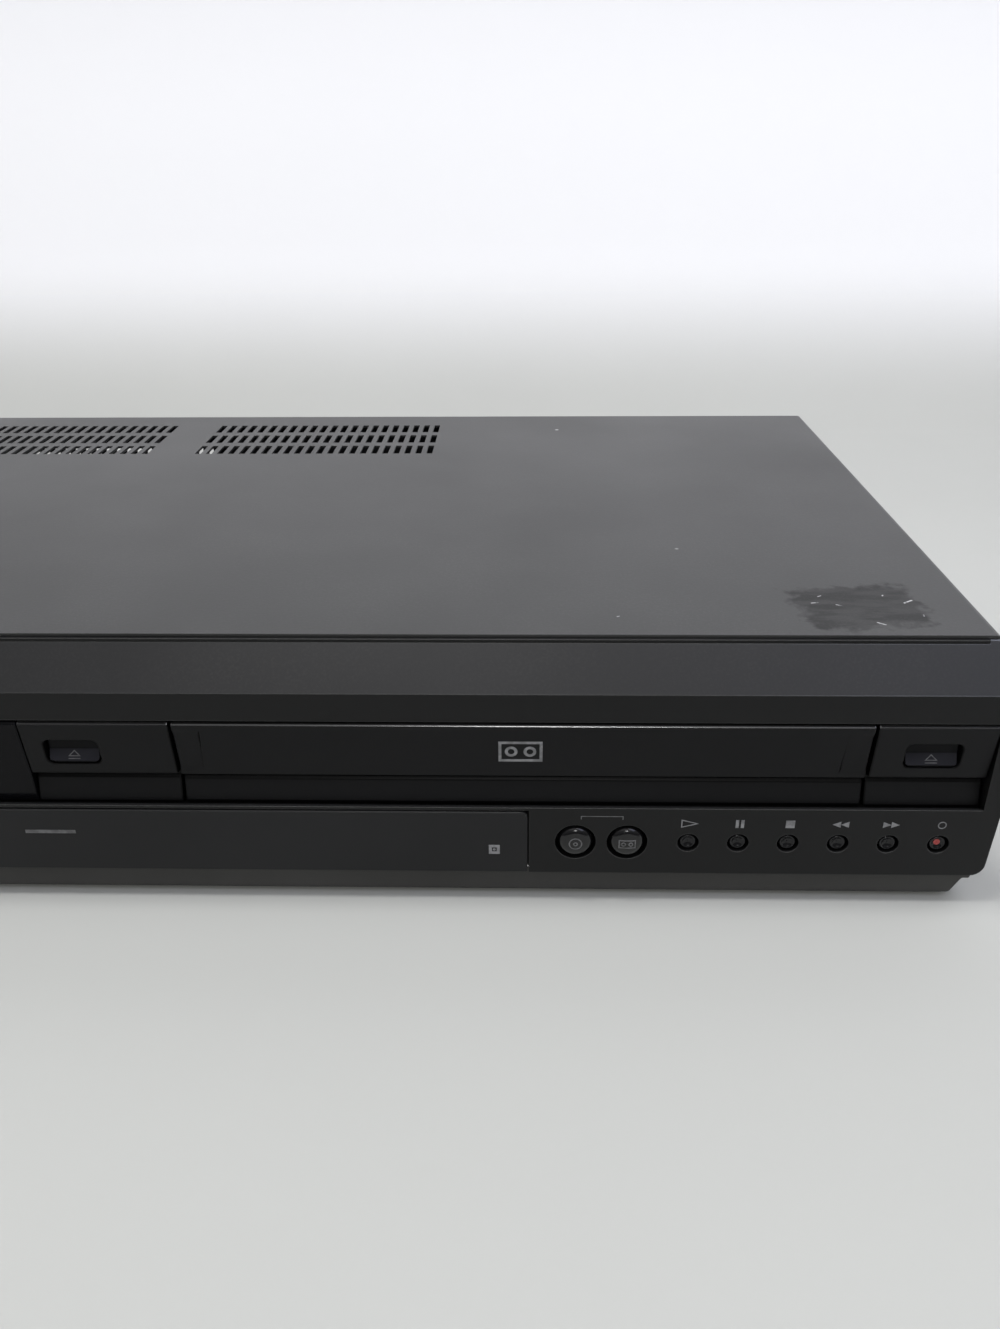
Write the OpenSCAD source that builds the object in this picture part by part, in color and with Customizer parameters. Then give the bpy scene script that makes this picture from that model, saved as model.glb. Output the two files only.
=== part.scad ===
// Disc and video cassette player in one slim case.
// Millimetres. +X to the right seen from the front, the front faces -Y, the feet stand on Z = 0.
// Depths are measured from the front plane of the fascia towards the rear.

/* [Case] */
// Width of the moulded fascia
fascia_w = 430; // [400:1:450]
// How far the fascia stands out beyond the cover at each side
fascia_side = 5; // [4:0.5:8]
// Height from the floor to the top of the cover
overall_h = 82; // [81:0.5:90]
// Depth from the fascia's front plane to the rear edge of the cover
body_d = 250; // [240:1:280]
// Thickness of the cover's sheet
sheet_t = 1; // [0.8:0.1:1.2]
// Thickness of the chassis pan's sheet
pan_t = 1; // [0.8:0.1:1.4]
// Height of the turned-up edges of the chassis pan
pan_edge_h = 14; // [8:1:20]
// Thickness of the moulded fascia
wall_t = 2.5; // [2:0.1:2.8]
// Outside bend radius of the cover
cover_bend_r = 2.2; // [1.5:0.1:4]
// Running gap round a moving front piece
run_gap = 0.5; // [0.35:0.05:0.6]
// Gap between two pieces that sit side by side
seat_gap = 0.3; // [0.2:0.05:0.4]

/* [Fascia profile] */
// How far the sloped top of the fascia runs back
slope_run = 12; // [10:0.5:14]
// Height of the fascia's foot above the floor
base_h = 10.1; // [9.6:0.1:10.6]
// Height of the upright band under the slope
band_h = 8.6; // [8:0.1:9]
// Height of the recess that holds the flap and the eject panels
recess_h = 28.2; // [28:0.1:28.6]
// Height of the raised bar on the flap and the eject panels
bar_h = 18.1; // [16:0.1:19]
// How far the raised bar leans back at its foot
bar_lean = 2.1; // [1:0.05:2.4]
// How far the band under the bar is stepped in at its top
step_in = 4.1; // [3.6:0.1:4.4]
// How far the band under the bar is stepped in at its foot
step_out = 2.6; // [2.2:0.05:3.2]
// Thickness of the flap and the eject panels, from the front plane
skin_d = 6.2; // [6:0.1:6.4]
// Height of the lip between the recess and the tray door
lip_h = 0.9; // [0.8:0.1:1.2]
// Depth of the groove behind that lip, in which the flap's foot hangs
groove_h = 1.1; // [1:0.1:1.3]
// Height of the tray door and the button panel
panel_h = 22; // [21.5:0.1:22.4]
// Set-back of the base trim from the front plane
trim_set = 2.4; // [2:0.1:3.2]
// Height of the open strip under the base trim
trim_lift = 1.5; // [1.2:0.1:2.5]

/* [Feet] */
// Radius of a foot
foot_r = 19; // [12:1:20]
// Height of a foot
foot_h = 5; // [4.5:0.1:5.5]
// Distance of a foot's centre from the cover's side
foot_side = 24; // [22:1:40]
// Depth of the front feet's centres
foot_front_d = 27; // [24:1:40]
// Distance of the rear feet's centres from the rear edge
foot_rear_d = 28; // [22:1:50]

/* [Cassette slot] */
// Width of the cassette flap
flap_w = 193.2; // [192.6:0.1:194]
// Width of the cassette that goes in
cassette_w = 187.3; // [186:0.1:188]
// Height of the cassette that goes in
cassette_h = 25; // [24:0.1:25.5]
// Depth of the flap's hinge axis
hinge_d = 4.2; // [4.2:0.1:4.5]
// Height of the hinge axis above the flap
hinge_rise = 3.5; // [3.4:0.1:4]
// Radius of the flap's hinge pins
hinge_r = 1.1; // [0.9:0.05:1.3]
// Radial clearance of a running shaft
shaft_fit = 0.05; // [0.03:0.01:0.08]

/* [Front panels and display] */
// Width of the panel that carries the disc eject button
disc_panel_w = 42; // [40:0.5:44]
// Width of the end panels of the recess
end_panel_w = 32.8; // [32:0.1:36]
// Width of an eject button's pocket
pocket_w = 15.4; // [15:0.1:18]
// Height of an eject button's pocket
pocket_h = 8.2; // [7:0.1:8.4]
// Height of a pocket's middle above the foot of the recess
pocket_z = 17.6; // [17:0.1:18.5]
// Offset of the disc eject pocket from the middle of its panel
pocket_shift = -7.7; // [-8:0.1:0]

/* [Push buttons] */
// Diameter of the two big select buttons
select_dia = 11.8; // [10:0.1:12]
// Distance from the first select button to the first small button
select_gap = 32.5; // [31:0.1:34]
// Distance between the two select buttons
select_pitch = 14.9; // [14.5:0.1:16]
// Diameter of the holes of the small buttons
key_dia = 6.2; // [5:0.1:6.4]
// Distance from the last small button to the fascia's right end
key_end = 16.1; // [15:0.1:20]
// Distance between two small buttons
key_pitch = 14.3; // [13:0.1:14.6]
// Height of the buttons' row
key_z = 21.2; // [20:0.1:22]
// How far a small button lies below the panel
key_sink = 0.8; // [0.4:0.1:1.2]
// How far a select button stands proud of the panel
select_proud = 1.2; // [0.8:0.1:1.6]
// Travel of every push button
key_travel = 1; // [0.6:0.1:1.2]

/* [Disc drive] */
// Share of the free width that lies between the disc loader and the tape deck
loader_share = 0.2; // [0.1:0.01:0.3]
// Width of the disc tray
tray_w = 132; // [130:0.5:134]
// Length of the disc tray
tray_len = 156; // [154:1:160]
// Thickness of the disc tray
tray_t = 5.4; // [5:0.1:6]
// Underside of the disc tray
tray_z = 16; // [15.8:0.1:16.4]
// Diameter of the disc's recess
disc_dia = 121; // [120.5:0.1:122]
// Travel of the disc tray
tray_travel = 130; // [110:1:130]
// Distance of the tray door's left end from the fascia's left end
door_left = 25; // [19:1:31]
// Distance of the tray door's right end from the first select button
door_right = 13.9; // [11:0.1:15]
// Thickness of the tray door
door_t = 2.6; // [2.2:0.1:2.8]
// Module of the rack and its pinion
rack_mod = 1; // [0.9:0.05:1]
// Teeth of the tray pinion
pinion_teeth = 18; // [16:1:18]
// How far the turntable drops to let the tray pass
platter_drop = 5; // [4.8:0.1:5.2]
// Travel of the optical pickup
pickup_travel = 35; // [30:1:36]

/* [Tape deck] */
// Thickness of the deck plate
deck_t = 1.2; // [1:0.1:1.6]
// Height of the deck plate's underside
deck_z = 16; // [15.8:0.1:16.4]
// Distance between the two reel tables
reel_pitch = 92; // [90:0.5:94]
// Radius of a reel table
reel_r = 18; // [14:0.5:18]
// How far the reel tables' centres lie in front of the head drum's centre
reel_ahead = 86; // [84:0.5:88]
// Radius of the head drum
drum_r = 31; // [28:0.5:31]
// Tilt of the head drum
drum_tilt = 6; // [4:0.5:7]
// Distance of the head drum's centre from the rear edge
drum_rear = 50; // [49:0.5:51]
// How far in front of the reel tables' centres the loaded carriage stops
load_stop = 5; // [5:1:15]
// Travel of the cassette carriage down to the reels
drop_travel = 12; // [10:0.5:12]
// Depth of the cassette carriage's front edge when it waits for a cassette
carriage_d = 37; // [36.5:0.5:38]
// Length of the cassette carriage
carriage_len = 56; // [50:1:57]

/* [Cover vents] */
// Slots in a row
vent_cols = 22; // [10:1:22]
// Rows of slots
vent_rows = 3; // [1:1:4]
// Length of a slot
vent_len = 12; // [8:0.5:14]
// Width of a slot
vent_w = 2.5; // [1.5:0.1:3]
// Distance between two slots in a row
vent_pitch = 4.7; // [4:0.1:4.8]
// Distance between two rows
vent_row_pitch = 17; // [15:0.5:18]
// Distance from the rear edge to the first row's middle
vent_rear = 22; // [20:0.5:30]
// Side position of the right block's right end
vent_right_x = 40.6; // [38:0.1:44]
// Side position of the left block's right end
vent_left_x = -81; // [-84:0.1:-78]

/* [Rear] */
// Length of an aerial connector behind the case
coax_len = 9; // [7:0.5:12]
// Radius of an aerial connector
coax_r = 4.7; // [4:0.1:5]
// Radius of a phono socket
phono_r = 4.1; // [3.8:0.1:4.3]
// Length of a phono socket behind the case
phono_len = 7.5; // [6:0.5:8]

/* [Hidden] */
$fn = 48;
// Thin overlap that makes a cut pass through a face
cut = 1;
// The front plane, placed so that the whole player is centred on the origin
front_y = -(select_proud + body_d + coax_len) / 2 + select_proud;
cover_w = fascia_w - 2 * fascia_side;
foot_x = cover_w / 2 - foot_side;
rear_d = body_d - 2 * sheet_t;
// Heights of the front, from its foot up to the slope, which takes up what is left
fascia_z = base_h;
door_top_z = fascia_z + panel_h;
recess_z = door_top_z + lip_h;
recess_top_z = recess_z + recess_h;
slope_z = recess_top_z + band_h;
slope_top_z = overall_h - sheet_t - 0.2;
// The raised bar and the band under it
skin_top_z = recess_top_z - run_gap - 0.1;
groove_z = recess_z - groove_h;
skin_z = groove_z + 0.4;
bar_z = skin_top_z - bar_h;
bar_edge = 0.9;
// The recess and the panels in it, laid out from its right end
recess_half = fascia_w / 2 - 5.5;
slot_x = recess_half - end_panel_w - flap_w / 2 - run_gap - 2 * seat_gap;
flap_x0 = slot_x - flap_w / 2;
flap_x1 = slot_x + flap_w / 2;
mouth_x0 = flap_x0 - run_gap;
mouth_x1 = flap_x1 + run_gap;
disc_panel_x1 = mouth_x0 - seat_gap;
disc_panel_x0 = disc_panel_x1 - disc_panel_w;
tape_panel_x0 = mouth_x1 + seat_gap;
tape_panel_x1 = recess_half - seat_gap;
power_panel_x0 = -recess_half + seat_gap;
power_panel_x1 = power_panel_x0 + end_panel_w;
window_x0 = power_panel_x1 + seat_gap;
window_x1 = disc_panel_x0 - seat_gap;
disc_pocket_x = (disc_panel_x0 + disc_panel_x1) / 2 + pocket_shift;
tape_pocket_x = (tape_panel_x0 + tape_panel_x1) / 2;
power_pocket_x = (power_panel_x0 + power_panel_x1) / 2;
pocket_mid_z = recess_z + pocket_z - 0.4;
hinge_z = skin_top_z + hinge_rise;
// The floor of the recess, behind the panels
recess_floor_d = skin_d + seat_gap;
// The row of buttons, laid out from the fascia's right end
key_count = 6;
key_x = fascia_w / 2 - key_end - (key_count - 1) * key_pitch;
select_x = key_x - select_gap;
door_x0 = -fascia_w / 2 + door_left;
door_x1 = select_x - door_right;
// The tray
tray_front_d = door_t + seat_gap;
tray_top_z = tray_z + tray_t;
door_wall_d = door_t + 1;
rail_gap = 0.4;
loader_wall_t = 2.4;
// The chassis
pan_z = foot_h;
pan_top_z = pan_z + pan_t;
pan_half = cover_w / 2 - sheet_t;
pan_front_d = 6.5;
deck_top_z = deck_z + deck_t;
cage_z = recess_z + run_gap + 0.3;
supply_x = slot_x - reel_pitch / 2;
takeup_x = slot_x + reel_pitch / 2;
drum_d = body_d - drum_rear;
reel_d = drum_d - reel_ahead;
load_travel = reel_d - carriage_d - load_stop;
deck_d0 = 30;
deck_d1 = drum_d + 35;
// The disc loader stands between the pan's left side and the tape deck
deck_half = cassette_w / 2 + 9;
deck_x0 = slot_x - deck_half;
deck_x1 = slot_x + deck_half;
loader_half = tray_w / 2 + rail_gap + loader_wall_t;
loader_room = deck_x0 + pan_half - 2 * loader_half;
tray_x = deck_x0 - loader_share * loader_room - loader_half;

// ---------------------------------------------------------------- helpers

// Y of a place that lies d behind the front plane
function fy(d) = front_y + d;

// A block between two opposite corners, each given as x, depth and z
module block(a, b) {
  translate([a[0], fy(a[1]), a[2]]) cube([b[0] - a[0], b[1] - a[1], b[2] - a[2]]);
}

// A flat outline of depth and height, pushed along X
module along_x(x0, x1) {
  translate([x0, front_y, 0]) rotate([90, 0, 90]) linear_extrude(x1 - x0) children();
}

// A flat outline of X and height, pushed from depth d0 to depth d1
module along_y(d0, d1) {
  translate([0, fy(d1), 0]) rotate([90, 0, 0]) linear_extrude(d1 - d0) children();
}

// A flat outline of X and depth, pushed from height z0 to height z1
module along_z(z0, z1) {
  translate([0, front_y, z0]) linear_extrude(z1 - z0) children();
}

// An upright cylinder at x and depth d
module post(x, d, z0, z1, r) {
  translate([x, fy(d), z0]) cylinder(h = z1 - z0, r = r);
}

// An upright hole, a little longer than the plate it goes through
module drill(x, d, z0, z1, r) {
  post(x, d, z0 - cut, z1 + cut, r);
}

// A lying cylinder along the depth
module rod_y(x, z, d0, d1, r) {
  translate([x, fy(d1), z]) rotate([90, 0, 0]) cylinder(h = d1 - d0, r = r);
}

// A lying cylinder along the width
module rod_x(d, z, x0, x1, r) {
  translate([x0, fy(d), z]) rotate([0, 90, 0]) cylinder(h = x1 - x0, r = r);
}

// A flat rectangle with round corners, centred
module round_rect(w, h, r) {
  square([w - 2 * r, h], center = true);
  square([w, h - 2 * r], center = true);
  for (x = [-1, 1], y = [-1, 1]) translate([x * (w / 2 - r), y * (h / 2 - r)]) circle(r);
}

// One straight-sided tooth that points along +X from its pitch line, lying flat
module tooth(mod, half) {
  polygon([[-1.25 * mod, -half - 0.35 * mod], [mod, -half + 0.34 * mod],
       [mod, half - 0.34 * mod], [-1.25 * mod, half + 0.35 * mod]]);
}

// Flat outline of a spur gear with its first tooth along +X
module spur(teeth, mod) {
  circle(mod * (teeth / 2 - 1.2));
  for (i = [0 : teeth - 1]) rotate(i * 360 / teeth) translate([mod * teeth / 2, 0]) tooth(mod, 0.62 * mod);
}

// Points of an arc from angle a0 to angle a1, whose chords lie outside the radius r
function round_points(at, r, a0, a1, n = 20) = [for (i = [0 : n])
  at + r / cos((a1 - a0) / n / 2) * [cos(a0 + (a1 - a0) * i / n), sin(a0 + (a1 - a0) * i / n)]];

// The area that a loop round two circles takes in
module belt_area(a, ra, b, rb) {
  dir = atan2(b[1] - a[1], b[0] - a[0]);
  lean = acos((ra - rb) / norm(b - a));
  polygon(concat(round_points(a, ra, dir + lean, dir + 360 - lean),
          round_points(b, rb, dir - lean, dir + lean)));
}

// Flat loop of belt round two pulleys, t thick
module belt_loop(a, ra, b, rb, t) {
  difference() {
    belt_area(a, ra + t, b, rb + t);
    belt_area(a, ra, b, rb);
  }
}

// ---------------------------------------------------------------- case

cover_half = cover_w / 2;
// Depth at which the cover starts, over the fascia's slope
cover_d = slope_run;
cover_foot_z = 7;

// Outline of the bent cover seen from the front
module cover_outline(inset) {
  top = overall_h - inset;
  half = cover_half - inset;
  r = max(cover_bend_r - inset, 0.1);
  translate([-half, cover_foot_z]) square([2 * half, top - cover_foot_z - r]);
  translate([-half + r, cover_foot_z]) square([2 * (half - r), top - cover_foot_z]);
  for (s = [-1, 1]) translate([s * (half - r), top - r]) circle(r);
}

// One block of slots whose right end is at x1
module vent_block(x1) {
  for (row = [0 : vent_rows - 1], col = [0 : vent_cols - 1]) {
    x = x1 - vent_w / 2 - col * vent_pitch;
    d = body_d - vent_rear - row * vent_row_pitch;
    block([x - vent_w / 2, d - vent_len / 2, overall_h - sheet_t - cut],
       [x + vent_w / 2, d + vent_len / 2, overall_h + cut]);
  }
}

screw_z = 14;
screw_r = 1.5;
side_screw_d = [70, body_d - 50];
rear_screw_x = [-150, 0, 150];
rear_screw_z = overall_h - 7;
hem_h = 11;

module top_cover() {
  color("#3a3a3c") difference() {
    union() {
      difference() {
        along_y(cover_d, body_d) cover_outline(0);
        along_y(cover_d - cut, body_d + cut) difference() {
          cover_outline(sheet_t);
          translate([-cover_half, 0]) square([cover_w, cover_foot_z]);
        }
        block([-pan_half, cover_d - cut, cover_foot_z - cut], [pan_half, body_d + cut, cover_foot_z + cut]);
      }
      // hem that turns down over the rear panel
      block([-pan_half, body_d - sheet_t, overall_h - hem_h], [pan_half, body_d, overall_h - sheet_t]);
    }
    vent_block(vent_left_x);
    vent_block(vent_right_x);
    for (s = [-1, 1], d = side_screw_d)
      rod_x(d, screw_z, s * cover_half - 3, s * cover_half + 3, screw_r + 0.2);
    for (x = rear_screw_x) rod_y(x, rear_screw_z, body_d - 3, body_d + cut, screw_r + 0.2);
  }
}

// One pan-headed screw along +Z, the head on top of z = 0
module screw() {
  cylinder(h = 0.9, r = 3);
  translate([0, 0, 0.9]) cylinder(h = 0.7, r1 = 3, r2 = 2.2);
  translate([0, 0, -5]) cylinder(h = 5, r = screw_r - 0.1);
}

module cover_screws() {
  color("#1c1c1e") {
    for (d = side_screw_d) {
      translate([cover_half, fy(d), screw_z]) rotate([0, 90, 0]) cross_screw();
      translate([-cover_half, fy(d), screw_z]) rotate([0, -90, 0]) cross_screw();
    }
    for (x = rear_screw_x) translate([x, fy(body_d), rear_screw_z]) rotate([-90, 0, 0]) cross_screw();
  }
}

// A screw with a cross recess in its head
module cross_screw() {
  difference() {
    screw();
    for (a = [0, 90]) rotate(a) translate([-1.6, -0.3, 0.8]) cube([3.2, 0.6, 2]);
  }
}

deck_post_r = 4;
deck_post_in = 11.65;
deck_posts = [for (x = [deck_x0 + deck_post_in, deck_x1 - deck_post_in])
  for (d = [deck_d0 + 8, deck_d1 - 9]) [x, d]];
pan_slot_w = 2.6;
pan_slot_len = 24;
pan_slot_pitch = 6;
pan_slots = 12;

module chassis_pan() {
  color("#a7a9ac") difference() {
    union() {
      block([-pan_half, pan_front_d, pan_z], [pan_half, rear_d - seat_gap, pan_top_z]);
      for (s = [-1, 1]) {
        x = s > 0 ? pan_half - pan_t : -pan_half;
        block([x, cover_d + 6, pan_z], [x + pan_t, rear_d - seat_gap, pan_z + pan_edge_h]);
      }
      block([-pan_half, pan_front_d, pan_z], [pan_half, pan_front_d + pan_t, 9]);
      // drawn posts that carry the tape deck
      for (p = deck_posts) post(p[0], p[1], pan_z, deck_z, deck_post_r);
      // drawn posts that carry the circuit boards
      for (p = board_posts) post(p[0], p[1], pan_z, board_z, 3);
    }
    for (p = deck_posts) drill(p[0], p[1], pan_z, deck_z, 1.4);
    for (s = [-1, 1], d = side_screw_d)
      rod_x(d, screw_z, s * pan_half - 3, s * pan_half + 3, screw_r);
    // cooling slots under the power board and under the tape deck
    for (p = [[power_rect[0] + 8, board_d0 + 4], [slot_x - 59, deck_d0 + 30]], i = [0 : pan_slots - 1]) {
      x = p[0] + i * pan_slot_pitch;
      block([x, p[1], pan_z - cut], [x + pan_slot_w, p[1] + pan_slot_len, pan_top_z + cut]);
    }
  }
}

phono_z = [26, 42];
coax_x = pan_half - 14.5;
coax_z = [24, 44];
can_half = 11;
inlet_x = -pan_half + 33;
inlet_z = 24;
inlet_w = 21;
inlet_h = 12;
rear_slots = 18;
rear_slot_w = 2.4;
rear_slot_pitch = 5;

module rear_panel() {
  color("#2b2b2d") difference() {
    union() {
      along_y(rear_d, body_d - sheet_t) {
        cover_outline(sheet_t + seat_gap);
        translate([-pan_half + seat_gap, pan_z]) square([2 * (pan_half - seat_gap), 10]);
      }
      // feet of the panel under the pan's edge
      for (x = [-120, 0, 120]) block([x - 10, rear_d - 8, pan_top_z], [x + 10, rear_d, pan_top_z + 1]);
    }
    for (x = phono_x, z = phono_z) rod_y(x, z, rear_d - cut, body_d + cut, phono_r + 0.4);
    for (z = coax_z) rod_y(coax_x, z, rear_d - cut, body_d + cut, coax_r + 0.4);
    along_y(rear_d - cut, body_d + cut) translate([inlet_x, inlet_z])
      round_rect(inlet_w + 0.6, inlet_h + 0.6, 2);
    for (x = rear_screw_x) rod_y(x, rear_screw_z, rear_d - cut, body_d + cut, screw_r);
    // cooling slots above the mains inlet
    for (i = [0 : rear_slots - 1]) {
      x = inlet_x + 18 + i * rear_slot_pitch;
      block([x, rear_d - cut, overall_h - 30], [x + rear_slot_w, body_d + cut, overall_h - 14]);
    }
  }
}

foot_recess_r = 12;

module rubber_feet() {
  color("#161617") for (s = [-1, 1], d = [foot_front_d, body_d - foot_rear_d])
    translate([s * foot_x, fy(d), 0]) difference() {
      rotate_extrude($fn = 64) polygon([[0, 0.8], [foot_recess_r, 0.8], [foot_recess_r + 0.6, 0],
        [foot_r - 1.2, 0], [foot_r, 1.4], [foot_r - 0.6, foot_h], [0, foot_h]]);
      translate([0, 0, -cut]) cylinder(h = 3, r = 3);
    }
}

// ---------------------------------------------------------------- fascia

lean_side = 1.2;
corner_r = 4;

// Points of an arc from angle a0 to angle a1
function arc(x, y, r, a0, a1, n = 6) = [for (i = [0 : n]) [x + r * cos(a0 + (a1 - a0) * i / n),
                             y + r * sin(a0 + (a1 - a0) * i / n)]];

// The fascia seen from the front: ends that lean in and round lower corners
module fascia_outline(inset) {
  half = fascia_w / 2 - inset;
  foot = half - lean_side;
  r = corner_r - inset / 2;
  polygon(concat(
    arc(foot - r, fascia_z + r, r, -90, 0),
    [[half, recess_z + 6], [half, slope_top_z + 1], [-half, slope_top_z + 1], [-half, recess_z + 6]],
    arc(-foot + r, fascia_z + r, r, 180, 270)));
}

// The fascia's section: slope, upright band, then the front plane down to its foot
module fascia_section() {
  polygon([[slope_run, slope_top_z], [0, slope_z], [0, fascia_z], [slope_run, fascia_z]]);
}

// The hollow behind the fascia's skin
module fascia_hollow() {
  polygon([[slope_run + cut, slope_top_z - wall_t], [slope_run - 0.5, slope_top_z - wall_t],
       [wall_t, slope_z - 1.2], [wall_t, fascia_z - cut], [slope_run + cut, fascia_z - cut]]);
}

tray_mouth_z0 = tray_z - 4.6;
tray_mouth_z1 = tray_top_z + 1;
tray_mouth_half = tray_w / 2 + 0.8;
// The lip under the recess: its top, the slanted back of it, and the web that carries it
lip_d = 1.1;
groove_d = 1.9;
web_t = 1;
web_z = groove_z - web_t;

module front_fascia() {
  color("#232325") difference() {
    union() {
      // skin
      intersection() {
        along_x(-fascia_w / 2, fascia_w / 2) fascia_section();
        along_y(-cut, slope_run + cut) fascia_outline(0);
        difference() {
          along_x(-fascia_w / 2, fascia_w / 2) fascia_section();
          intersection() {
            along_x(-fascia_w / 2, fascia_w / 2) fascia_hollow();
            along_y(-cut, slope_run + 2 * cut) fascia_outline(wall_t);
          }
        }
      }
      // solid ends beside the recess
      for (s = [-1, 1]) intersection() {
        along_y(1, slope_run) fascia_outline(0);
        block([s > 0 ? recess_half : -fascia_w / 2, 0, fascia_z + 1],
           [s > 0 ? fascia_w / 2 : -recess_half, slope_run, recess_top_z + 2]);
      }
      // floor of the recess behind the panels
      block([-recess_half - 1, recess_floor_d, recess_z - 2],
            [recess_half + 1, recess_floor_d + wall_t, slope_z]);
      // shelf under the recess
      block([-recess_half - 1, 1, web_z], [recess_half + 1, recess_floor_d + wall_t, recess_z]);
      // wall behind the tray door
      block([door_x0 - 3, door_wall_d, fascia_z], [door_x1 + 3, door_wall_d + wall_t, door_top_z + 0.5]);
      // tongue that slips under the cover
      block([-pan_half + 3, slope_run - 1, slope_top_z - wall_t],
         [pan_half - 3, slope_run + 5, overall_h - sheet_t]);
      // foot flange on the chassis pan
      block([-pan_half + 4, 2, fascia_z], [pan_half - 4, pan_front_d + 4, fascia_z + 1.6]);
      // bearings of the flap
      for (x = [mouth_x0 - 2.6, mouth_x1]) {
        rod_x(hinge_d, hinge_z, x, x + 2.6, 2.1);
        block([x, 1, hinge_z - 1], [x + 2.6, recess_floor_d + 1, hinge_z + 3]);
      }
    }
    // recess for the flap and the panels
    block([-recess_half, -cut, recess_z], [recess_half, recess_floor_d, recess_top_z]);
    along_x(-recess_half, recess_half) polygon([[lip_d, recess_z + cut], [lip_d, recess_z],
      [groove_d, groove_z], [recess_floor_d, groove_z], [recess_floor_d, recess_z + cut]]);
    // way in for the cassette
    block([mouth_x0, 1, recess_z], [mouth_x1, slope_run + 8, recess_top_z + 0.01]);
    block([mouth_x0, wall_t, recess_top_z - cut], [mouth_x1, slope_run + 8, hinge_z + 4.6]);
    for (x = [mouth_x0 - 3, mouth_x1 - 0.5]) rod_x(hinge_d, hinge_z, x, x + 3.5, hinge_r + shaft_fit);
    // hollow for the tray door
    along_x(door_x0 - run_gap, door_x1 + run_gap) polygon([
      [-cut, fascia_z - cut], [door_wall_d, fascia_z - cut], [door_wall_d, web_z],
      [groove_d - 0.4, web_z], [lip_d, door_top_z], [-cut, door_top_z]]);
    // way through for the tray
    block([tray_x - tray_mouth_half, 1, tray_mouth_z0],
          [tray_x + tray_mouth_half, slope_run + 8, tray_mouth_z1]);
    // window and button openings in the floor of the recess
    block([window_x0 + 4, recess_floor_d - 1, recess_z + 4], [window_x1 - 4, slope_run, recess_top_z - 4]);
    for (x = [disc_pocket_x, tape_pocket_x, power_pocket_x])
      block([x - pocket_w / 2, recess_floor_d - 1, pocket_mid_z - pocket_h / 2],
         [x + pocket_w / 2, slope_run, pocket_mid_z + pocket_h / 2]);
    // holes of the push buttons
    for (i = [0 : 1]) rod_y(select_x + i * select_pitch, key_z, -cut, slope_run + 2, select_dia / 2);
    for (i = [0 : key_count - 1]) rod_y(key_x + i * key_pitch, key_z, -cut, slope_run + 2, key_dia / 2);
  }
}

// Front of the base, with slanted and stepped ends
module base_trim() {
  top = fascia_z - 0.2;
  mid = fascia_z - 3.4;
  half = fascia_w / 2 - 2;
  color("#3d3d40") intersection() {
    along_y(0, pan_front_d) polygon([[-half + 7, trim_lift], [half - 7, trim_lift], [half - 3.5, mid],
      [half - 1.4, mid], [half, top], [-half, top], [-half + 1.4, mid], [-half + 3.5, mid]]);
    along_x(-half, half) polygon([
      [trim_set + 1.2, top], [trim_set + 0.8, top - 0.8], [trim_set, trim_lift + 0.8],
      [trim_set + 0.6, trim_lift], [pan_front_d, trim_lift], [pan_front_d, top]]);
  }
}

// Section of the flap and of the fixed panels beside it: a raised bar over a stepped-in band
module skin_section(back = skin_d) {
  polygon([[back, skin_top_z], [bar_edge, skin_top_z], [0, skin_top_z - bar_edge],
       [bar_lean, bar_z], [step_in + 0.9, bar_z - 0.6], [step_in + 0.9, bar_z - 1.8],
       [step_in, bar_z - 2.6], [step_out, skin_z + 0.7], [step_out + 0.5, skin_z], [back, skin_z]]);
}

// A hollow panel of that section, open at the back
module skin_panel(x0, x1) {
  difference() {
    along_x(x0, x1) skin_section();
    along_x(x0 + 1.6, x1 - 1.6) polygon([[skin_d + cut, skin_top_z - 1.6], [2, skin_top_z - 1.6],
      [bar_lean + 1.7, bar_z + 1.6], [skin_d + cut, bar_z + 1.6]]);
  }
}

// Outline of an eject pocket around the middle of its button
module pocket_outline(x, grow) {
  translate([x, pocket_mid_z]) round_rect(pocket_w + 2 * grow, pocket_h + 2 * grow, 2 + grow);
}

// A fixed panel with a pocket for one button
module pocket_panel(x0, x1, pocket_x) {
  difference() {
    union() {
      skin_panel(x0, x1);
      intersection() {
        along_y(0, skin_d) pocket_outline(pocket_x, 1.4);
        along_x(x0, x1) skin_section();
      }
    }
    along_y(-cut, skin_d + cut) pocket_outline(pocket_x, 0);
  }
}

module disc_eject_panel() {
  color("#1f1f21") pocket_panel(disc_panel_x0, disc_panel_x1, disc_pocket_x);
}

module tape_eject_panel() {
  color("#1f1f21") pocket_panel(tape_panel_x0, tape_panel_x1, tape_pocket_x);
}

module power_panel() {
  color("#1f1f21") pocket_panel(power_panel_x0, power_panel_x1, power_pocket_x);
}

// Smoked window over the display, flush with the bars beside it
module display_window() {
  color([0.05, 0.05, 0.07, 0.9]) along_x(window_x0, window_x1) polygon([
    [skin_d, skin_top_z], [bar_edge, skin_top_z], [0, skin_top_z - bar_edge], [bar_lean, bar_z],
    [step_out, skin_z + 0.7], [step_out + 0.5, skin_z], [skin_d, skin_z], [skin_d, skin_z + 5],
    [4.4, skin_z + 5], [4.4, skin_top_z - 4], [skin_d, skin_top_z - 4]]);
}

// ---------------------------------------------------------------- flap

// Shallow dish at each end of the bar, with a crease where the raised middle begins
dish_w = 7.4;
dish_t = 0.55;
dish_top_z = skin_top_z - 2.8;
dish_z = bar_z + 1.4;
flap_ribs = 6;

// Depth of the bar's leaning face at a height
function bar_face(z) = bar_lean * (skin_top_z - bar_edge - z) / (bar_h - bar_edge);

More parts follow.
